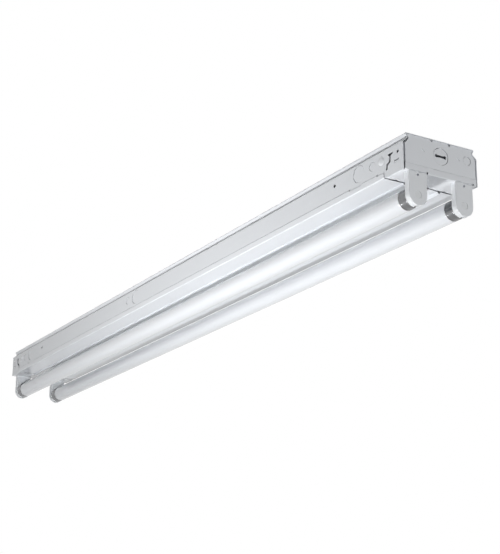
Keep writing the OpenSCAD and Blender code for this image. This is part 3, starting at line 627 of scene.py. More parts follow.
def patterned(name, colour, tone, cloud, rough, grain, relief, stretch=(1, 1, 1),
              **values):
    """A finish with a slow change of tone, and a fine grain in gloss and relief.

    tone is the share of the colour that the darkest clouds lose, and cloud their size.
    The roughness runs with the clouds between the two values of rough. grain and
    relief are the size and height of the grain. All sizes are in millimetres.
    """
    material, tree, shader = new_material(name)
    place = add(tree, "TexCoord").outputs["Object"]
    along = add(
        tree, "Mapping", {"Scale": stretch}, {"Vector": place}).outputs["Vector"]
    clouds = add(
        tree, "TexNoise", {"Scale": 1 / (cloud * MM), "Detail": CLOUD_DETAIL},
        {"Vector": along}).outputs["Fac"]
    grains = add(
        tree, "TexNoise", {"Scale": 1 / (grain * MM), "Detail": GRAIN_DETAIL},
        {"Vector": along}).outputs["Fac"]
    tones = add(
        tree, "Mix", {MIX_FIRST: shade(colour, 1 - tone), MIX_SECOND: colour},
        {MIX_FACTOR: clouds}, data_type="RGBA")
    gloss = add(
        tree, "MapRange", {"To Min": rough[0], "To Max": rough[1]}, {"Value": clouds})
    bumps = add(
        tree, "Bump", {"Strength": 1.0, "Distance": relief * MM}, {"Height": grains})
    tree.links.new(tones.outputs[MIX_RESULT], shader.inputs["Base Color"])
    tree.links.new(gloss.outputs["Result"], shader.inputs["Roughness"])
    tree.links.new(bumps.outputs["Normal"], shader.inputs["Normal"])
    set_values(shader, **values)
    return material


def baked_enamel(colour):
    """Gloss enamel sprayed on folded sheet steel and baked: even white, with a faint
    orange peel of about 2 mm that breaks up what it mirrors."""
    return patterned(
        "gloss white baked enamel", colour, tone=0.03, cloud=140.0, rough=(0.2, 0.3),
        grain=2.0, relief=0.004, Specular_IOR_Level=0.5, Coat_Weight=0.25,
        Coat_Roughness=0.12)


def moulded_holder_plastic(colour):
    """Glass-filled polyester moulded in a fine spark-eroded tool: a soft sheen, and a
    texture of about half a millimetre that shows only close by."""
    return patterned(
        "satin moulded polyester", colour, tone=0.05, cloud=9.0, rough=(0.38, 0.5),
        grain=0.5, relief=0.006)


def moulded_rotor_plastic(colour):
    """Polished moulded polycarbonate, a little greyer than the lampholder."""
    return patterned(
        "smooth moulded polycarbonate", colour, tone=0.06, cloud=6.0,
        rough=(0.28, 0.38), grain=0.8, relief=0.003)


def phosphor_coated_glass(colour):
    """Clear drawn glass with a powder coat inside: flat milky white under one sharp
    gloss, a touch greyer in slow bands along the tube. The sheen is the powder's, which
    keeps the tube's edges bright."""
    return patterned(
        "phosphor coated drawn glass", colour, tone=0.035, cloud=60.0,
        rough=(0.5, 0.58), grain=1.5, relief=0.001, stretch=(0.35, 1, 1),
        Coat_Weight=1.0, Coat_Roughness=0.06, Coat_IOR=1.5, Sheen_Weight=0.3,
        Sheen_Roughness=0.4)


def shade_darkened_aluminium(colour):
    """Aluminium cup deep-drawn on a press: fine rings round its axis from the die, and
    a soft metallic shine. Its grey is darker than bare aluminium: painted shade for
    the dark surroundings that the caps mirror."""
    return patterned(
        "drawn aluminium darkened as painted shade", colour, tone=0.25, cloud=3.0, rough=(0.18, 0.28), grain=0.35,
        relief=0.003, stretch=(1, 0.08, 0.08), Metallic=1.0)


def wire_insulation(name, hex_colour, tone):
    """Extruded insulation of a wire: smooth and satin, with a fine draw in it."""
    return patterned(
        f"{name} wire insulation", linear(hex_colour), tone, cloud=8.0,
        rough=(0.3, 0.42), grain=0.6, relief=0.006)


def plain_finishes():
    """The finishes of the small parts, by the record's slot, from what each is."""
    return {
        # Phosphor bronze strip, rolled: brown-gold and bright, with lines along it
        "contact_bronze": patterned(
            "rolled phosphor bronze", linear("#C79A5B"), tone=0.2, cloud=4.0,
            rough=(0.25, 0.4), grain=0.6, relief=0.003, stretch=(0.2, 1, 1),
            Metallic=1.0),
        # Phenolic disc, hot pressed: nearly black and dull
        "pin_insulator": patterned(
            "pressed phenolic", linear("#3A3735"), tone=0.3, cloud=2.0,
            rough=(0.5, 0.65), grain=0.4, relief=0.01),
        # Brass pin, turned: yellow under a dull tarnish
        "pin_brass": patterned(
            "turned brass", linear("#C9A35E"), tone=0.25, cloud=2.0, rough=(0.25, 0.4),
            grain=0.3, relief=0.003, stretch=(1, 0.2, 0.2), Metallic=1.0),
        # Lead glass stem, flame worked: slightly grey and very smooth
        "stem_glass": patterned(
            "grey stem glass", linear("#C8CCCB"), tone=0.1, cloud=5.0,
            rough=(0.08, 0.15), grain=2.0, relief=0.002, Coat_Weight=0.6),
        # Ballast case, grey enamel over steel: satin and slightly dusty
        "ballast_steel": patterned(
            "grey enamelled steel", linear("#8F9396"), tone=0.15, cloud=25.0,
            rough=(0.35, 0.5), grain=1.5, relief=0.006),
        # Glass-fibre board under a green solder mask: the weave lifts it a little
        "circuit_board": patterned(
            "solder-masked fibre board", linear("#2F6B45"), tone=0.25, cloud=6.0,
            rough=(0.3, 0.45), grain=0.7, relief=0.012),
        # Zinc-plated steel: spangled and bright
        "zinc_steel": patterned(
            "zinc-plated steel", linear("#C3C6C8"), tone=0.25, cloud=3.0,
            rough=(0.25, 0.45), grain=0.8, relief=0.004, Metallic=1.0),
        # Nylon bushing, moulded: black with a waxy sheen
        "black_nylon": patterned(
            "black nylon", linear("#1D1E1F"), tone=0.3, cloud=3.0, rough=(0.35, 0.5),
            grain=0.5, relief=0.006),
        "blue_insulation": wire_insulation("blue", "#2456A6", tone=0.2),
        "red_insulation": wire_insulation("red", "#B3262B", tone=0.2),
        "black_insulation": wire_insulation("black", "#1B1B1C", tone=0.3),
        "white_insulation": wire_insulation("white", "#E7E6E1", tone=0.08),
        "green_insulation": wire_insulation("green", "#2E7D3E", tone=0.2),
        # Wire nut, moulded nylon: orange with a matt skin
        "orange_plastic": patterned(
            "orange moulded nylon", linear("#E0702A"), tone=0.15, cloud=4.0,
            rough=(0.4, 0.52), grain=0.5, relief=0.01),
        # Earth screw, zinc plated and dyed: a green tint over metal
        "green_zinc": patterned(
            "green dyed zinc plate", linear("#4E8A5A"), tone=0.25, cloud=2.0,
            rough=(0.28, 0.45), grain=0.6, relief=0.004, Metallic=1.0),
    }


FINISHES = {}


def finish_for(slot_name):
    """The material of one of the record's slots, made once."""
    if not FINISHES:
        group = bpy.context.scene.shop_light_finishes
        FINISHES.update(plain_finishes())
        FINISHES.update({
            "white_enamel": baked_enamel(tuple(group.enamel)),
            "holder_plastic": moulded_holder_plastic(tuple(group.holder)),
            "rotor_plastic": moulded_rotor_plastic(tuple(group.rotor)),
            "coated_glass": phosphor_coated_glass(tuple(group.glass)),
            "cap_aluminium": shade_darkened_aluminium(tuple(group.cap)),
        })
    return FINISHES[slot_name]


# Channel


def channel_section(m):
    """The channel's outline over its top, from one lower edge to the other."""
    right = [
        (TOP_WIDTH / 2, 0),
        (NECK_WIDTH / 2, -NECK_DEPTH),
        (m.half_width, -SHOULDER_DEPTH),
        (m.half_width, -m.channel_depth),
    ]
    return [(-y, z) for y, z in reversed(right)] + right


def cut_lances(cutter, m, end, wide):
    """Adds the opening of one end's two lances to a cutter."""
    low, high = sorted(end * (m.half_length - place) for place in LANCE_SPAN)
    bar(cutter, (low, -wide, LANCE_MIDDLE - LANCE_OPENING / 2),
        (high, wide, LANCE_MIDDLE + LANCE_OPENING / 2))


def channel_cutters(m):
    """What is cut from walls and top: plain holes, and the slots that overlap."""
    plain, slots = bmesh.new(), bmesh.new()
    wide = m.half_width + OVER
    across, upright = (0, wide, 0), (0, 0, OVER)
    for end in (LEFT, RIGHT):
        def at(place):
            return end * (m.half_length - place)
        for place, depth, radius in (WALL_HOLE, PILOT_HOLE):
            drill(plain, radius, (at(place), 0, -depth), across)
        for place, radius in END_KNOCKOUTS:
            drill(plain, radius, (at(place), 0, -WALL_KNOCKOUT_DEPTH), across,
                  DISC_SIDES)
        cut_lances(plain, m, end, wide)
        for chain in (HANGER_HEAD, HANGER_LEG):
            for a, b in zip(chain, chain[1:]):
                slot(slots, (at(a[0]), 0, a[1]), (at(b[0]), 0, b[1]), HANGER_SLOT,
                     across)
        place, radius = CEILING_HOLE
        drill(plain, radius, (at(place), 0, 0), upright)
        drill(plain, BIG_KNOCKOUT, (end * TOP_KNOCKOUT_X, 0, 0), upright, DISC_SIDES)
        drill(plain, EARTH_SCREW[2], (end * BALLAST_SCREW_X, 0, 0), upright,
              SMALL_SIDES)
    for x, radius in MIDDLE_KNOCKOUTS_X:
        drill(plain, radius, (x, 0, -WALL_KNOCKOUT_DEPTH), across, DISC_SIDES)
    x, y, radius = EARTH_SCREW
    drill(plain, radius, (x, y, 0), upright, SMALL_SIDES)
    return plain, slots


def lance_straps(m):
    """The straps of the walls that are pushed in between two slits, one per corner."""
    near, far = LANCE_SPAN
    bottom, top = LANCE_STRAP
    outline = [(near - LANCE_ROOT, 0), (near + LANCE_SLOPE, LANCE_DEPTH),
               (far - LANCE_SLOPE, LANCE_DEPTH), (far + LANCE_ROOT, 0)]
    straps = []
    for end, side in CORNERS:
        strap = bmesh.new()
        _, edges = wire(strap, [
            (end * (m.half_length - place), side * (m.half_width - depth), bottom)
            for place, depth in outline])
        draw_out(strap, edges, (0, 0, top - bottom))
        give_wall(strap, m.sheet, AXES["Y"] * side)
        straps.append(strap)
    return straps


def knockout_discs(m):
    """The discs of all the channel's knockouts, set back a little."""
    places = [(end * (m.half_length - place), radius)
              for end in (LEFT, RIGHT) for place, radius in END_KNOCKOUTS]
    discs = [
        placed(knockout_disc(radius, m.sheet),
               (x, side * (m.half_width - KNOCKOUT_SINK), -WALL_KNOCKOUT_DEPTH),
               (0, side, 0))
        for x, radius in (*places, *MIDDLE_KNOCKOUTS_X) for side in (FRONT, REAR)]
    discs += [
        placed(knockout_disc(BIG_KNOCKOUT, m.sheet),
               (end * TOP_KNOCKOUT_X, 0, -KNOCKOUT_SINK), (0, 0, 1), AXES["Y"])
        for end in (LEFT, RIGHT)]
    return discs


def wall_dimples(m):
    """The bumps pressed out of both walls near both ends, steepest at their foot."""
    profile = [(-DIMPLE_ROOT, 0), (-DIMPLE_ROOT, DIMPLE_RADIUS)]
    for step in range(DIMPLE_STEPS + 1):
        share = 1 - step / DIMPLE_STEPS
        profile.append((
            DIMPLE_HEIGHT * (1 - share ** DIMPLE_STEEPNESS), DIMPLE_RADIUS * share))
    place, depth = DIMPLE
    bumps = []
    for end, side in CORNERS:
        bump = turned(profile, sides=HOLE_SIDES)
        bmesh.ops.rotate(
            bump, cent=(0, 0, 0), verts=bump.verts,
            matrix=Matrix.Rotation(side * QUARTER_TURN, 3, "Z"))
        bmesh.ops.translate(
            bump, verts=bump.verts,
            vec=(end * (m.half_length - place), side * m.half_width, -depth))
        bumps.append(bump)
    return bumps


class SHOPLIGHT_OT_channel(bpy.types.Operator):
    """Folds the channel from sheet, with its holes, slots, knockouts and dimples"""

    bl_idname = "shoplight.channel"
    bl_label = "Build channel"

    def execute(self, context):
        m = measures(context)
        bm = bmesh.new()
        verts, _ = wire(
            bm, [(-m.channel_end, y, z) for y, z in channel_section(m)])
        round_corners(bm, verts[1:-1], m.bend)
        draw_out(bm, bm.edges[:], (2 * m.channel_end, 0, 0))
        give_wall(bm, m.sheet, AXES["Z"])
        for cutter in channel_cutters(m):
            combine(bm, cutter)
        shortening = bmesh.new()
        seat = m.tray_end + TRAY_GAP
        bar(shortening, (-seat, -m.half_width - OVER, -m.channel_depth - OVER),
            (seat, m.half_width + OVER, m.tray_top + TRAY_GAP))
        combine(bm, shortening)
        for bump in wall_dimples(m):
            combine(bm, bump, "UNION")
        join(bm, *knockout_discs(m), *lance_straps(m))
        finish_piece(bm, "enamelled_channel", "housing", "white_enamel", ["channel"])
        return {"FINISHED"}


# End plates


def plate_sheet(m, x):
    """The right end plate's face at x, with two flanges bent in inside the walls."""
    bm = bmesh.new()
    low, high = PLATE_FLANGE
    step_in, step_down = PLATE_STEP
    outer = m.inner_half_width - PLATE_SIDE_GAP
    face_half = outer - PLATE_BEND
    neck_gap = m.sheet + PLATE_NECK_GAP
    right = [
        (TOP_WIDTH / 2 - neck_gap - PLATE_TOP_TAPER, -m.sheet - PLATE_GAP),
        (NECK_WIDTH / 2 - neck_gap, -NECK_DEPTH - PLATE_NECK_DROP),
        (face_half, high),
        (face_half, low),
        (outer - step_in, low - step_down),
        (outer - step_in, PLATE_BOTTOM),
    ]
    points = [(x, y, z) for y, z in right] + [(x, -y, z) for y, z in reversed(right)]
    verts, _ = wire(bm, points, closed=True)
    bm.faces.new(verts)
    for side in (FRONT, REAR):
        edge = edges_where(
            bm, lambda co: abs(co.y - side * face_half) < NEAR
            and abs(co.x - x) < NEAR)
        bent = fold(
            bm, edge, (x - PLATE_BEND, side * face_half, 0), (0, 0, 1),
            side * QUARTER_TURN)
        draw_out(bm, bent, (PLATE_BEND - PLATE_FLANGE_LENGTH, 0, 0))
    give_wall(bm, m.sheet, AXES["X"])
    return bm


def plate_cutter(m, x):
    """What is cut from the end plate: knockouts, notches, marks and flange slots."""
    cutter = bmesh.new()
    start, stop = x - m.sheet - OVER, x + OVER
    for (y, z), radius in ((PLATE_BIG_KNOCKOUT, BIG_KNOCKOUT),
                           (PLATE_SMALL_KNOCKOUT, SMALL_KNOCKOUT)):
        rod(cutter, radius, (start, y, z), (stop, y, z), DISC_SIDES)
    for side in (FRONT, REAR):
        y, z, radius = BEND_NOTCHES
        rod(cutter, radius, (start, side * y, z), (stop, side * y, z), SMALL_SIDES)
        y, z = PLATE_MARKS
        half_run, half_rise, width, deep = PLATE_MARK
        slot(cutter, (x, side * y - half_run, z - half_rise),
             (x, side * y + half_run, z + half_rise), width, (deep, 0, 0))
    place, depth, _ = WALL_HOLE
    run, height = FLANGE_SLOT
    hole_x = m.half_length - place
    slot(cutter, (hole_x, 0, -depth), (hole_x - run, 0, -depth), height,
         (0, m.half_width, 0))
    cut_lances(cutter, m, RIGHT, m.half_width)
    return cutter


def plate_discs(m, x):
    """The end plate's two knockout discs, the large one with its pry slot."""
    big = knockout_disc(BIG_KNOCKOUT, m.sheet, QUARTER_TURN)
    pry = bmesh.new()
    half, radius, height = PRY_SLOT
    for y in (-half, half):
        rod(pry, radius, (y, 0, -m.sheet - OVER), (y, 0, OVER), SLOT_SIDES)
    bar(pry, (-half, -height / 2, -m.sheet - OVER), (half, height / 2, OVER))
    combine(big, pry)
    small = knockout_disc(SMALL_KNOCKOUT, m.sheet, QUARTER_TURN)
    return [placed(disc, (x - KNOCKOUT_SINK, y, z), (1, 0, 0)) for disc, (y, z) in (
        (big, PLATE_BIG_KNOCKOUT), (small, PLATE_SMALL_KNOCKOUT))]


def end_plate(m):
    """The right end plate, a little nearer to the rear wall."""
    x = m.channel_end - PLATE_SETBACK
    bm = plate_sheet(m, x)
    combine(bm, plate_cutter(m, x))
    join(bm, *plate_discs(m, x))
    bmesh.ops.translate(bm, verts=bm.verts, vec=(0, PLATE_SHIFT, 0))
    return bm


class SHOPLIGHT_OT_end_plates(bpy.types.Operator):
    """Bends the two end plates, with their knockouts, pry slot and marks"""

    bl_idname = "shoplight.end_plates"
    bl_label = "Build end plates"

    def execute(self, context):
        finish_both_ends(end_plate(measures(context)), "end_plate_panel", "end_plate")
        return {"FINISHED"}


# Socket trays


def socket_tray(m):
    """The right tray: a floor with its end and side flanges bent up."""
    bm = bmesh.new()
    bend = TRAY_BEND
    low = -m.channel_depth
    flat_x = m.half_length - bend
    flat_y = m.tray_half_width - bend
    side_end = m.half_length - TRAY_SIDE_SETBACK - bend
    right = [(m.tray_end, flat_y), (side_end, flat_y), (flat_x, flat_y)]
    points = [(x, -y, low) for x, y in right]
    points += [(x, y, low) for x, y in reversed(right)]
    verts, _ = wire(bm, points, closed=True)
    bm.faces.new(verts)
    end_edge = edges_where(bm, lambda co: co.x > flat_x - NEAR)
    bent = fold(bm, end_edge, (flat_x, 0, low + bend), (0, 1, 0), -QUARTER_TURN)
    lip_in, lip_height = TRAY_LIP
    straight = draw_out(bm, bent, (0, 0, TRAY_FLANGE_TOP - lip_height - low - bend))
    draw_out(bm, straight, (-lip_in, 0, lip_height))
    for side in (FRONT, REAR):
        side_edge = edges_where(
            bm, lambda co: abs(co.y - side * flat_y) < NEAR and abs(co.z - low) < NEAR
            and co.x < flat_x - NEAR)
        bent = fold(bm, side_edge, (0, side * flat_y, low + bend), (1, 0, 0),
                    side * QUARTER_TURN)
        draw_out(bm, bent, (0, 0, TRAY_SIDE_TOP - low - bend))
    give_wall(bm, m.cover_sheet, -AXES["Z"])
    soften(bm, edges_where(
        bm, lambda co: co.z > TRAY_FLANGE_TOP - EDGE_BAND
        and co.x > m.half_length - lip_in - EDGE_BAND), SHEET_EDGE_ROUND, EDGE_STEPS)
    windows, notches = bmesh.new(), bmesh.new()
    start, stop = m.half_length - m.cover_sheet - OVER, m.half_length + OVER
    for side in (FRONT, REAR):
        y = side * m.tube_spacing / 2
        wide = HOLDER_RADIUS + WINDOW_GAP
        bar(windows, (m.holder_inner - WINDOW_GAP, y - wide, low - OVER),
            (stop, y + wide, WINDOW_TOP))
        rod(notches, RELIEF_RADIUS, (start, y + wide, WINDOW_TOP),
            (stop, y + wide, WINDOW_TOP), SMALL_SIDES)
    for y in TRAY_NOTCHES:
        rod(notches, NOTCH_RADIUS, (start, y, TRAY_FLANGE_TOP),
            (stop, y, TRAY_FLANGE_TOP), SMALL_SIDES)
    for y in SEAM_NOTCHES:
        drill(notches, SEAM_NOTCH_RADIUS, (m.tray_end, y, low), (0, 0, OVER),
              SMALL_SIDES)
    for cutter in (windows, notches):
        combine(bm, cutter)
    return bm


class SHOPLIGHT_OT_socket_trays(bpy.types.Operator):
    """Bends the two trays that carry the lampholders, with windows and notches"""

    bl_idname = "shoplight.socket_trays"
    bl_label = "Build socket trays"

    def execute(self, context):
        finish_both_ends(
            socket_tray(measures(context)), "socket_tray_panel", "socket_tray")
        return {"FINISHED"}


# Cover


def cover_sheet(m, outer):
    """The cover's folded sheet: a ridged flat and two flanges with a lip."""
    low = -m.channel_depth
    lip_out, lip_height = COVER_LIP
    right = [(outer, COVER_FLANGE_TOP),
             (outer + lip_out, COVER_FLANGE_TOP - lip_height), (outer, low)]
    right += [(y, low + height) for y, height in RIDGE]
    section = right + [(-y, z) for y, z in reversed(right)]
    bm = bmesh.new()
    verts, _ = wire(bm, [(-m.cover_end, y, z) for y, z in section])
    round_corners(bm, [verts[2], verts[-3]], m.bend)
    round_corners(bm, verts[3:-3], RIDGE_BEND, EDGE_STEPS)
    draw_out(bm, bm.edges[:], (2 * m.cover_end, 0, 0))
    give_wall(bm, m.cover_sheet, -AXES["Z"])
    soften(bm, edges_where(
        bm, lambda co: co.z > COVER_FLANGE_TOP - EDGE_BAND
        and abs(co.y) > outer - EDGE_BAND), SHEET_EDGE_ROUND, EDGE_STEPS)
    return bm


def cover_cutters(m, outer):
    """The notches in the cover's flanges, each with one round corner."""
    blocks, rounds = bmesh.new(), bmesh.new()
    place, length, height = FLANGE_NOTCH
    middle = m.half_length - place
    notches = ((middle - length / 2, middle + length / 2),
               (m.cover_end - END_NOTCH_LENGTH, m.cover_end + OVER))
    wide = outer + OVER
    bottom = COVER_FLANGE_TOP - height
    for end in (LEFT, RIGHT):
        for start, stop in notches:
            left, right = sorted((end * start, end * stop))
            for side in (FRONT, REAR):
                front, back = sorted((side * (outer - 2 * OVER), side * wide))
                bar(blocks, (left, front, bottom),
                    (right, back, COVER_FLANGE_TOP + OVER))
            drill(rounds, NOTCH_RADIUS, (end * start, 0, bottom + height / 2),
                  (0, wide, 0), SMALL_SIDES)
    return blocks, rounds


class SHOPLIGHT_OT_cover(bpy.types.Operator):
    """Folds the ridged cover that clips over the channel's walls"""

    bl_idname = "shoplight.cover"
    bl_label = "Build cover"

    def execute(self, context):
        m = measures(context)
        outer = m.half_width + COVER_GAP + m.cover_sheet
        bm = cover_sheet(m, outer)
        for cutter in cover_cutters(m, outer):
            combine(bm, cutter)
        finish_piece(bm, "ridged_cover", "cover", "white_enamel", ["channel_cover"])
        return {"FINISHED"}


# Lampholders


def holder_shape(m, x_from, x_to):
    """A lampholder's outline, round below and straight above, drawn out along X."""
    bm = bmesh.new()
    start = bm.verts.new((x_from, -HOLDER_RADIUS, 0))
    arc = bmesh.ops.spin(
        bm, geom=[start], cent=(x_from, 0, 0), axis=(1, 0, 0), angle=math.pi,
        steps=HOLDER_ARC_STEPS, use_merge=False, use_duplicate=False)
    last = verts_of(arc["geom_last"])[0]
    corners = [bm.verts.new((x_from, y, m.holder_top))
               for y in (-HOLDER_RADIUS, HOLDER_RADIUS)]
    bm.edges.new((start, corners[0]))
    bm.edges.new((corners[0], corners[1]))
    bm.edges.new((corners[1], last))
    face = bmesh.ops.contextual_create(bm, geom=bm.edges[:])["faces"]
    made = bmesh.ops.extrude_face_region(bm, geom=face)["geom"]
    bmesh.ops.translate(bm, verts=verts_of(made), vec=(x_to - x_from, 0, 0))
    bmesh.ops.recalc_face_normals(bm, faces=bm.faces)
    return bm


def soften_rim(bm, m, x):
    """Bevels the rim of a lampholder's face at x, but not along its straight top."""
    rim = edges_where(
        bm, lambda co: abs(co.x - x) < NEAR and co.z < m.holder_top - NEAR)
    rim += edges_where(
        bm, lambda co: abs(co.x - x) < NEAR and co.z > -NEAR
        and abs(abs(co.y) - HOLDER_RADIUS) < NEAR)
    soften(bm, list(dict.fromkeys(rim)), HOLDER_EDGE, EDGE_STEPS)


def holder_body(m):
    """The right lampholder's body about its tube's axis: bores, slot and foot."""
    bm = holder_shape(m, m.holder_inner, m.holder_split)
    soften_rim(bm, m, m.holder_inner)
    foot = bmesh.new()
    start, stop, half, height = HOLDER_FOOT
    bar(foot, (m.half_length - start, -half, m.holder_top),
        (m.half_length - stop, half, m.holder_top + height))
    soften(foot, foot.edges[:], FOOT_EDGE)
    join(bm, foot)
    inner, split = m.holder_inner - OVER, m.holder_split + OVER
    collar_x = m.holder_inner + HOLDER_FRONT
    boss, collar = ROTOR_BOSS + RUNNING_GAP, ROTOR_COLLAR + COLLAR_GAP
    bore = turned([(inner, 0), (inner, boss), (collar_x, boss), (collar_x, collar),
                   (split, collar), (split, 0)], sides=DISC_SIDES)
    chamber = bmesh.new()
    half, low, high = CHAMBER
    bar(chamber, (collar_x + ROTOR_FLOAT + ROTOR_COLLAR_THICKNESS, -half, low),
        (split, half, high))
    entry = bmesh.new()
    bar(entry, (inner, -ENTRY_SLOT / 2, -HOLDER_RADIUS - OVER),
        (split, ENTRY_SLOT / 2, 0))
    wire_hole = bmesh.new()
    place, radius = WIRE_HOLE
    rod(wire_hole, radius, (m.half_length - place, 0, 0),
        (m.half_length - place, 0, m.tube_drop), SMALL_SIDES)
    test_hole = bmesh.new()
    height, radius = TEST_HOLE
    rod(test_hole, radius, (collar_x, 0, height), (split, 0, height), SLOT_SIDES)
    for cutter in (bore, chamber, entry, wire_hole, test_hole):
        combine(bm, cutter)
    return bm


def holder_back(m):
    """The plate that closes a right lampholder and carries the rotor's journal."""
    bm = holder_shape(m, m.holder_split, m.holder_outer)
    soften_rim(bm, m, m.holder_outer)
    holes = bmesh.new()
    start, stop = m.holder_split - OVER, m.holder_outer + OVER
    rod(holes, ROTOR_JOURNAL + RUNNING_GAP, (start, 0, 0), (stop, 0, 0), DISC_SIDES)
    height, radius = TEST_HOLE
    rod(holes, radius, (start, 0, height), (stop, 0, height), SLOT_SIDES)
    combine(bm, holes)
    return bm


def rotor(m):
    """The right rotor about its tube's axis, slotted across to take the pins."""
    start = m.holder_inner + ROTOR_FLOAT
    collar = m.holder_inner + HOLDER_FRONT + ROTOR_FLOAT
    back = m.holder_split - ROTOR_FLOAT
    tip = m.holder_outer - JOURNAL_SINK
    collar_back = collar + ROTOR_COLLAR_THICKNESS
    bm = turned([
        (start, 0), (start, ROTOR_BOSS - ROTOR_CHAMFER),
        (start + ROTOR_CHAMFER, ROTOR_BOSS), (collar, ROTOR_BOSS),
        (collar, ROTOR_COLLAR), (collar_back, ROTOR_COLLAR), (collar_back, ROTOR_HUB),
        (back, ROTOR_HUB), (back, ROTOR_JOURNAL),
        (tip - JOURNAL_CHAMFER, ROTOR_JOURNAL), (tip, ROTOR_JOURNAL - JOURNAL_CHAMFER),
        (tip, 0)], sides=DISC_SIDES)
    groove = bmesh.new()
    bar(groove, (start - OVER, -HOLDER_RADIUS, -ROTOR_SLOT / 2),
        (back - ROTOR_FLOOR, HOLDER_RADIUS, ROTOR_SLOT / 2))
    combine(bm, groove)
    return bm


class SHOPLIGHT_OT_lampholders(bpy.types.Operator):
    """Moulds the four lampholders, their back plates and their rotors"""

    bl_idname = "shoplight.lampholders"
    bl_label = "Build lampholders"

    def execute(self, context):
        m = measures(context)
        kinds = (
            ("lampholder", holder_body(m), "holder_plastic", "holder_body"),
            ("lampholder_back_plate", holder_back(m), "holder_plastic", "holder_back"),
            ("pin_rotor", rotor(m), "rotor_plastic", "rotor"),
        )
        for piece, shape, slot_name, node in kinds:
            for end, side in CORNERS:
                place = f"{SIDE_NAMES[side]}_{END_NAMES[end]}"
                part = shifted(shape, (0, side * m.tube_spacing / 2, -m.tube_drop))
                if end == LEFT:
                    mirrored = flipped(part)
                    part.free()
                    part = mirrored
                body = f"{place}_rotor" if node == "rotor" else "housing"
                finish_piece(part, f"{place}_{piece}", body, slot_name,
                             [f"{node}_{place}"])
            shape.free()
        return {"FINISHED"}


# Tubes


def tube_glass(m, place):
    """A glass tube at its place, necked where the caps take it."""
    neck = m.tube_radius - GLASS_NECKING
    shoulder = m.cap_face - CAP_LENGTH - CAP_SHEET
    full = shoulder - GLASS_SHOULDER
    end = m.cap_face - GLASS_INSET
    outside = [
        (end, neck),
        (shoulder, neck),
        (shoulder - SHOULDER_FOOT[0], neck + SHOULDER_FOOT[1]),
        (full + SHOULDER_HEAD[0], m.tube_radius - SHOULDER_HEAD[1]),
        (full, m.tube_radius),
    ]
    outside += [(-x, radius) for x, radius in reversed(outside)]
    inside = [(x, radius - GLASS_WALL) for x, radius in reversed(outside)]
    return turned(outside + inside, centre=place)


def tube_cap(m):
    """The right cap: a drawn cup with a rolled shoulder and a staked ring."""
    mouth = m.cap_face - CAP_LENGTH
    radius = m.tube_radius
    outside = [(mouth + along, radius - depth) for along, depth in CAP_MOUTH + CAP_RING]
    for step in range(CAP_ROLL_STEPS + 1):
        angle = QUARTER_TURN * step / CAP_ROLL_STEPS
        outside.append((m.cap_face - CAP_ROLL + CAP_ROLL * math.sin(angle),
                        radius - CAP_ROLL + CAP_ROLL * math.cos(angle)))
    outside.append((m.cap_face, INSULATOR_RADIUS))
    inside = [(m.cap_face - CAP_SHEET, INSULATOR_RADIUS),
              (m.cap_face - CAP_SHEET, radius - CAP_ROLL),
              (m.cap_face - CAP_ROLL, radius - CAP_SHEET),
              (mouth, radius - CAP_SHEET)]
    return turned(outside + inside)


def tube_insulator(m):
    """The right cap's insulating disc, seated behind the cap's rim."""
    face = m.cap_face
    back = face - INSULATOR_THICKNESS
    seat = face - CAP_SHEET - INSULATOR_GAP
    edge_in, edge_down = INSULATOR_CHAMFER
    bm = turned([
        (back, 0), (back, INSULATOR_RADIUS + INSULATOR_LIP),
        (seat, INSULATOR_RADIUS + INSULATOR_LIP), (seat, INSULATOR_RADIUS - PIN_GAP),
        (face - edge_in, INSULATOR_RADIUS - PIN_GAP),
        (face, INSULATOR_RADIUS - edge_down), (face, 0)], sides=DISC_SIDES)
    holes = bmesh.new()
    for y in (-PIN_OFFSET, PIN_OFFSET):
        rod(holes, PIN_RADIUS + PIN_GAP, (back - OVER, y, 0), (face + OVER, y, 0),
            SMALL_SIDES)
    combine(bm, holes)
    return bm


def tube_pins(m):
    """The right cap's two pins, rounded at their tips."""
    tip = m.cap_face + PIN_LENGTH
    start = m.cap_face - GLASS_INSET
    profile = [(start, 0), (start, PIN_RADIUS)]
    profile += [(tip - back, share * PIN_RADIUS) for back, share in PIN_TIP]
    bm = bmesh.new()
    join(bm, *(turned(profile, centre=(0, y, 0), sides=SMALL_SIDES)
               for y in (-PIN_OFFSET, PIN_OFFSET)))
    return bm


class SHOPLIGHT_OT_tubes(bpy.types.Operator):
    """Draws the two fluorescent tubes with their caps, insulators and pins"""

    bl_idname = "shoplight.tubes"
    bl_label = "Build tubes"

    def execute(self, context):
        m = measures(context)
        ends = {"cap": tube_cap(m), "insulator": tube_insulator(m), "pin": tube_pins(m)}
        for side in (FRONT, REAR):
            name = SIDE_NAMES[side]
            place = (0, side * m.tube_spacing / 2, -m.tube_drop)
            body = f"{name}_lamp"
            finish_piece(tube_glass(m, place), f"{name}_coated_tube", body,
                         "coated_glass", [f"lamp_{name}_glass"])
            for part, slot_name in (("cap", "cap_aluminium"),
                                    ("insulator", "pin_insulator"),
                                    ("pin", "pin_brass")):
                both = shifted(ends[part], place)
                join(both, flipped(both))
                finish_piece(both, f"{name}_tube_{part}s", body, slot_name,
                             [f"lamp_{name}_{part}s"])
        for shape in ends.values():
            shape.free()
        return {"FINISHED"}


# Carried-over parts


class SHOPLIGHT_OT_inner_parts(bpy.types.Operator):
    """Gives the CAD parts that stay as they are the finish of their slot"""

    bl_idname = "shoplight.inner_parts"
    bl_label = "Finish inner parts"

    def execute(self, context):
        slots = {
            row["node"]: row["material_slot"] for row in frame["record"]["subparts"]}
        for name, node in frame["nodes"].items():
            if node.hide_render:
                continue
            if name not in slots:
                raise RuntimeError(f"no finish is known for {name}")
            node.data.materials.clear()
            node.data.materials.append(finish_for(slots[name]))
        return {"FINISHED"}


# Stage


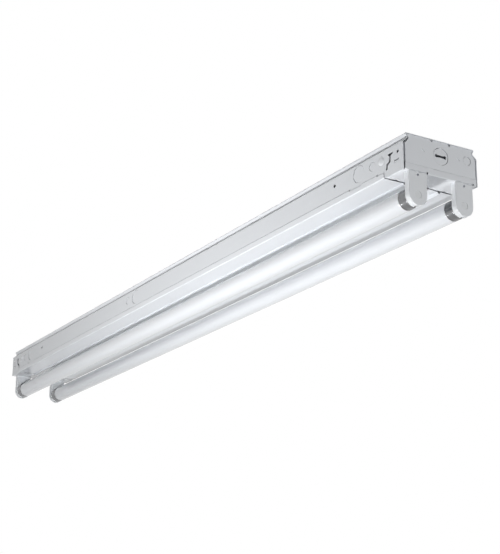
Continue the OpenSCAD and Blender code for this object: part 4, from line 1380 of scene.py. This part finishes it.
# The photograph's camera: place in metres, turn in degrees and lens for a 36 mm sensor
CAMERA_PLACE = (1.76401, -0.95219, -0.64389)
CAMERA_TURN = (107.7134, -0.4395, 58.9699)
CAMERA_LENS = 87.87
SENSOR = 36.0
CAMERA_REACH = 50
# Floor: its height and half its width, in metres
FLOOR_DEPTH = -4.5
FLOOR_SIZE = 12.0
# Share of plain white in what the camera, the gloss or the glass sees of the floor
FLOOR_WHITE = 0.93
ROOM_LIGHT = 0.06
# Each lamp: name, place in metres, the point that it faces, its length along the
# light and its width in metres, power in watts. The last two light only the top and
# the back, which the photograph doesn't show.
LAMPS = (
    ("near strip key", (0.25, -0.57, -0.62), (0.15, 0.0, -0.05), 0.5, 0.06, 3.6),
    ("far strip key", (0.15, -0.75, -0.8), (0.1, 0.0, -0.05), 0.6, 0.08, 4.65),
    ("side fill", (0.1, -1.3, -0.12), (0.1, 0.0, -0.05), 0.8, 0.2, 2.2),
    ("strip below", (0.6, 0.0, -1.4), (0.4, 0.0, -0.05), 0.7, 0.25, 1.0),
    ("end lamp", (2.1, 0.1, -0.85), (0.0, 0.0, -0.05), 0.7, 0.7, 17.0),
    ("top fill", (-0.2, 0.2, 1.5), (0.0, 0.0, 0.0), 1.0, 1.0, 9.0),
    ("back fill", (0.0, 1.1, 1.2), (0.0, 0.0, -0.05), 0.8, 0.5, 15.0),
)


def add_lamp(name, place, target, length, width, power):
    """A soft lamp that faces a point and that the camera doesn't see."""
    data = bpy.data.lights.new(name, "AREA")
    data.shape = "RECTANGLE"
    data.size = length
    data.size_y = width
    data.energy = power
    lamp = bpy.data.objects.new(name, data)
    lamp.location = place
    lamp.rotation_euler = (Vector(target) - Vector(place)).to_track_quat(
        "-Z", "Y").to_euler()
    lamp.visible_camera = False
    bpy.context.scene.collection.objects.link(lamp)


def rays_seen(tree):
    """1 for the rays of the camera, gloss and glass, and 0 for all other light."""
    ways = add(tree, "LightPath").outputs
    seen = add(tree, "Math", None, {0: ways["Is Camera Ray"], 1: ways["Is Glossy Ray"]},
               operation="MAXIMUM")
    return add(tree, "Math", None,
               {0: seen.outputs[0], 1: ways["Is Transmission Ray"]},
               operation="MAXIMUM").outputs[0]


def add_world(scene):
    """Even room light, and plain white where the camera, gloss or glass see it."""
    world = bpy.data.worlds.new("studio")
    world.use_nodes = True
    tree = world.node_tree
    tree.nodes.clear()
    room = add(tree, "Background", {"Color": linear("#FFFFFF"), "Strength": ROOM_LIGHT})
    white = add(tree, "Background", {"Color": linear("#FFFFFF"), "Strength": 1.0})
    both = add(tree, "MixShader", None, {
        0: rays_seen(tree), 1: room.outputs[0], 2: white.outputs[0]})
    add(tree, "OutputWorld", None, {"Surface": both.outputs[0]})
    scene.world = world


def floor_paint(colour):
    """Matt paint on boards. What the camera, the gloss and the glass see of it is
    mostly plain white."""
    material = patterned(
        "matt floor paint", colour, tone=0.03, cloud=400.0, rough=(0.6, 0.75),
        grain=6.0, relief=0.02)
    tree = material.node_tree
    output = next(node for node in tree.nodes if node.type == "OUTPUT_MATERIAL")
    paint = output.inputs["Surface"].links[0].from_socket
    white = add(tree, "Emission", {"Color": linear("#FFFFFF"), "Strength": 1.0})
    share = add(tree, "Math", {1: FLOOR_WHITE}, {0: rays_seen(tree)},
                operation="MULTIPLY")
    both = add(tree, "MixShader", None, {
        0: share.outputs[0], 1: paint, 2: white.outputs[0]})
    tree.links.new(both.outputs[0], output.inputs["Surface"])
    return material


def add_floor(colour):
    """A plain pale floor far below the light."""
    bm = bmesh.new()
    bmesh.ops.create_grid(bm, x_segments=1, y_segments=1, size=FLOOR_SIZE)
    bmesh.ops.translate(bm, verts=bm.verts, vec=(0, 0, FLOOR_DEPTH))
    plane = as_object(bm, "floor")
    bm.free()
    plane.data.materials.append(floor_paint(colour))


class SHOPLIGHT_OT_stage(bpy.types.Operator):
    """Sets the floor, the room, the lamps and the photograph's camera"""

    bl_idname = "shoplight.stage"
    bl_label = "Set stage"

    def execute(self, context):
        scene = context.scene
        add_floor(tuple(scene.shop_light_finishes.floor))
        add_world(scene)
        for lamp in LAMPS:
            add_lamp(*lamp)
        data = bpy.data.cameras.new("photo camera")
        data.lens = CAMERA_LENS
        data.sensor_width = SENSOR
        data.sensor_fit = "AUTO"
        data.clip_end = CAMERA_REACH
        camera = bpy.data.objects.new("photo camera", data)
        camera.location = CAMERA_PLACE
        camera.rotation_euler = [math.radians(angle) for angle in CAMERA_TURN]
        scene.collection.objects.link(camera)
        scene.camera = camera
        scene.view_settings.view_transform = "Standard"
        return {"FINISHED"}


# Panel and main


OPERATORS = (
    SHOPLIGHT_OT_stage,
    SHOPLIGHT_OT_channel,
    SHOPLIGHT_OT_end_plates,
    SHOPLIGHT_OT_socket_trays,
    SHOPLIGHT_OT_cover,
    SHOPLIGHT_OT_lampholders,
    SHOPLIGHT_OT_tubes,
    SHOPLIGHT_OT_inner_parts,
)


class SHOPLIGHT_PT_panel(bpy.types.Panel):
    """Lists the light's sizes, colours and pieces"""

    bl_label = "Shop Light"
    bl_idname = "SHOPLIGHT_PT_panel"
    bl_space_type = "VIEW_3D"
    bl_region_type = "UI"
    bl_category = "Shop Light"

    def draw(self, context):
        column = self.layout.column(align=True)
        for group in (context.scene.shop_light_sizes, context.scene.shop_light_finishes):
            for key in type(group).__annotations__:
                column.prop(group, key)
            column.separator()
        for operator in OPERATORS:
            column.operator(operator.bl_idname)


CLASSES = (ShopLightSizes, ShopLightFinishes, *OPERATORS, SHOPLIGHT_PT_panel)


def register():
    for cls in CLASSES:
        bpy.utils.register_class(cls)
    bpy.types.Scene.shop_light_sizes = bpy.props.PointerProperty(type=ShopLightSizes)
    bpy.types.Scene.shop_light_finishes = bpy.props.PointerProperty(
        type=ShopLightFinishes)


def unregister():
    del bpy.types.Scene.shop_light_finishes
    del bpy.types.Scene.shop_light_sizes
    for cls in reversed(CLASSES):
        bpy.utils.unregister_class(cls)


def main():
    register()
    bpy.ops.shoplight.stage()
    bpy.ops.shoplight.channel()
    bpy.ops.shoplight.end_plates()
    bpy.ops.shoplight.socket_trays()
    bpy.ops.shoplight.cover()
    bpy.ops.shoplight.lampholders()
    bpy.ops.shoplight.tubes()
    bpy.ops.shoplight.inner_parts()


if __name__ == "__main__":
    main()
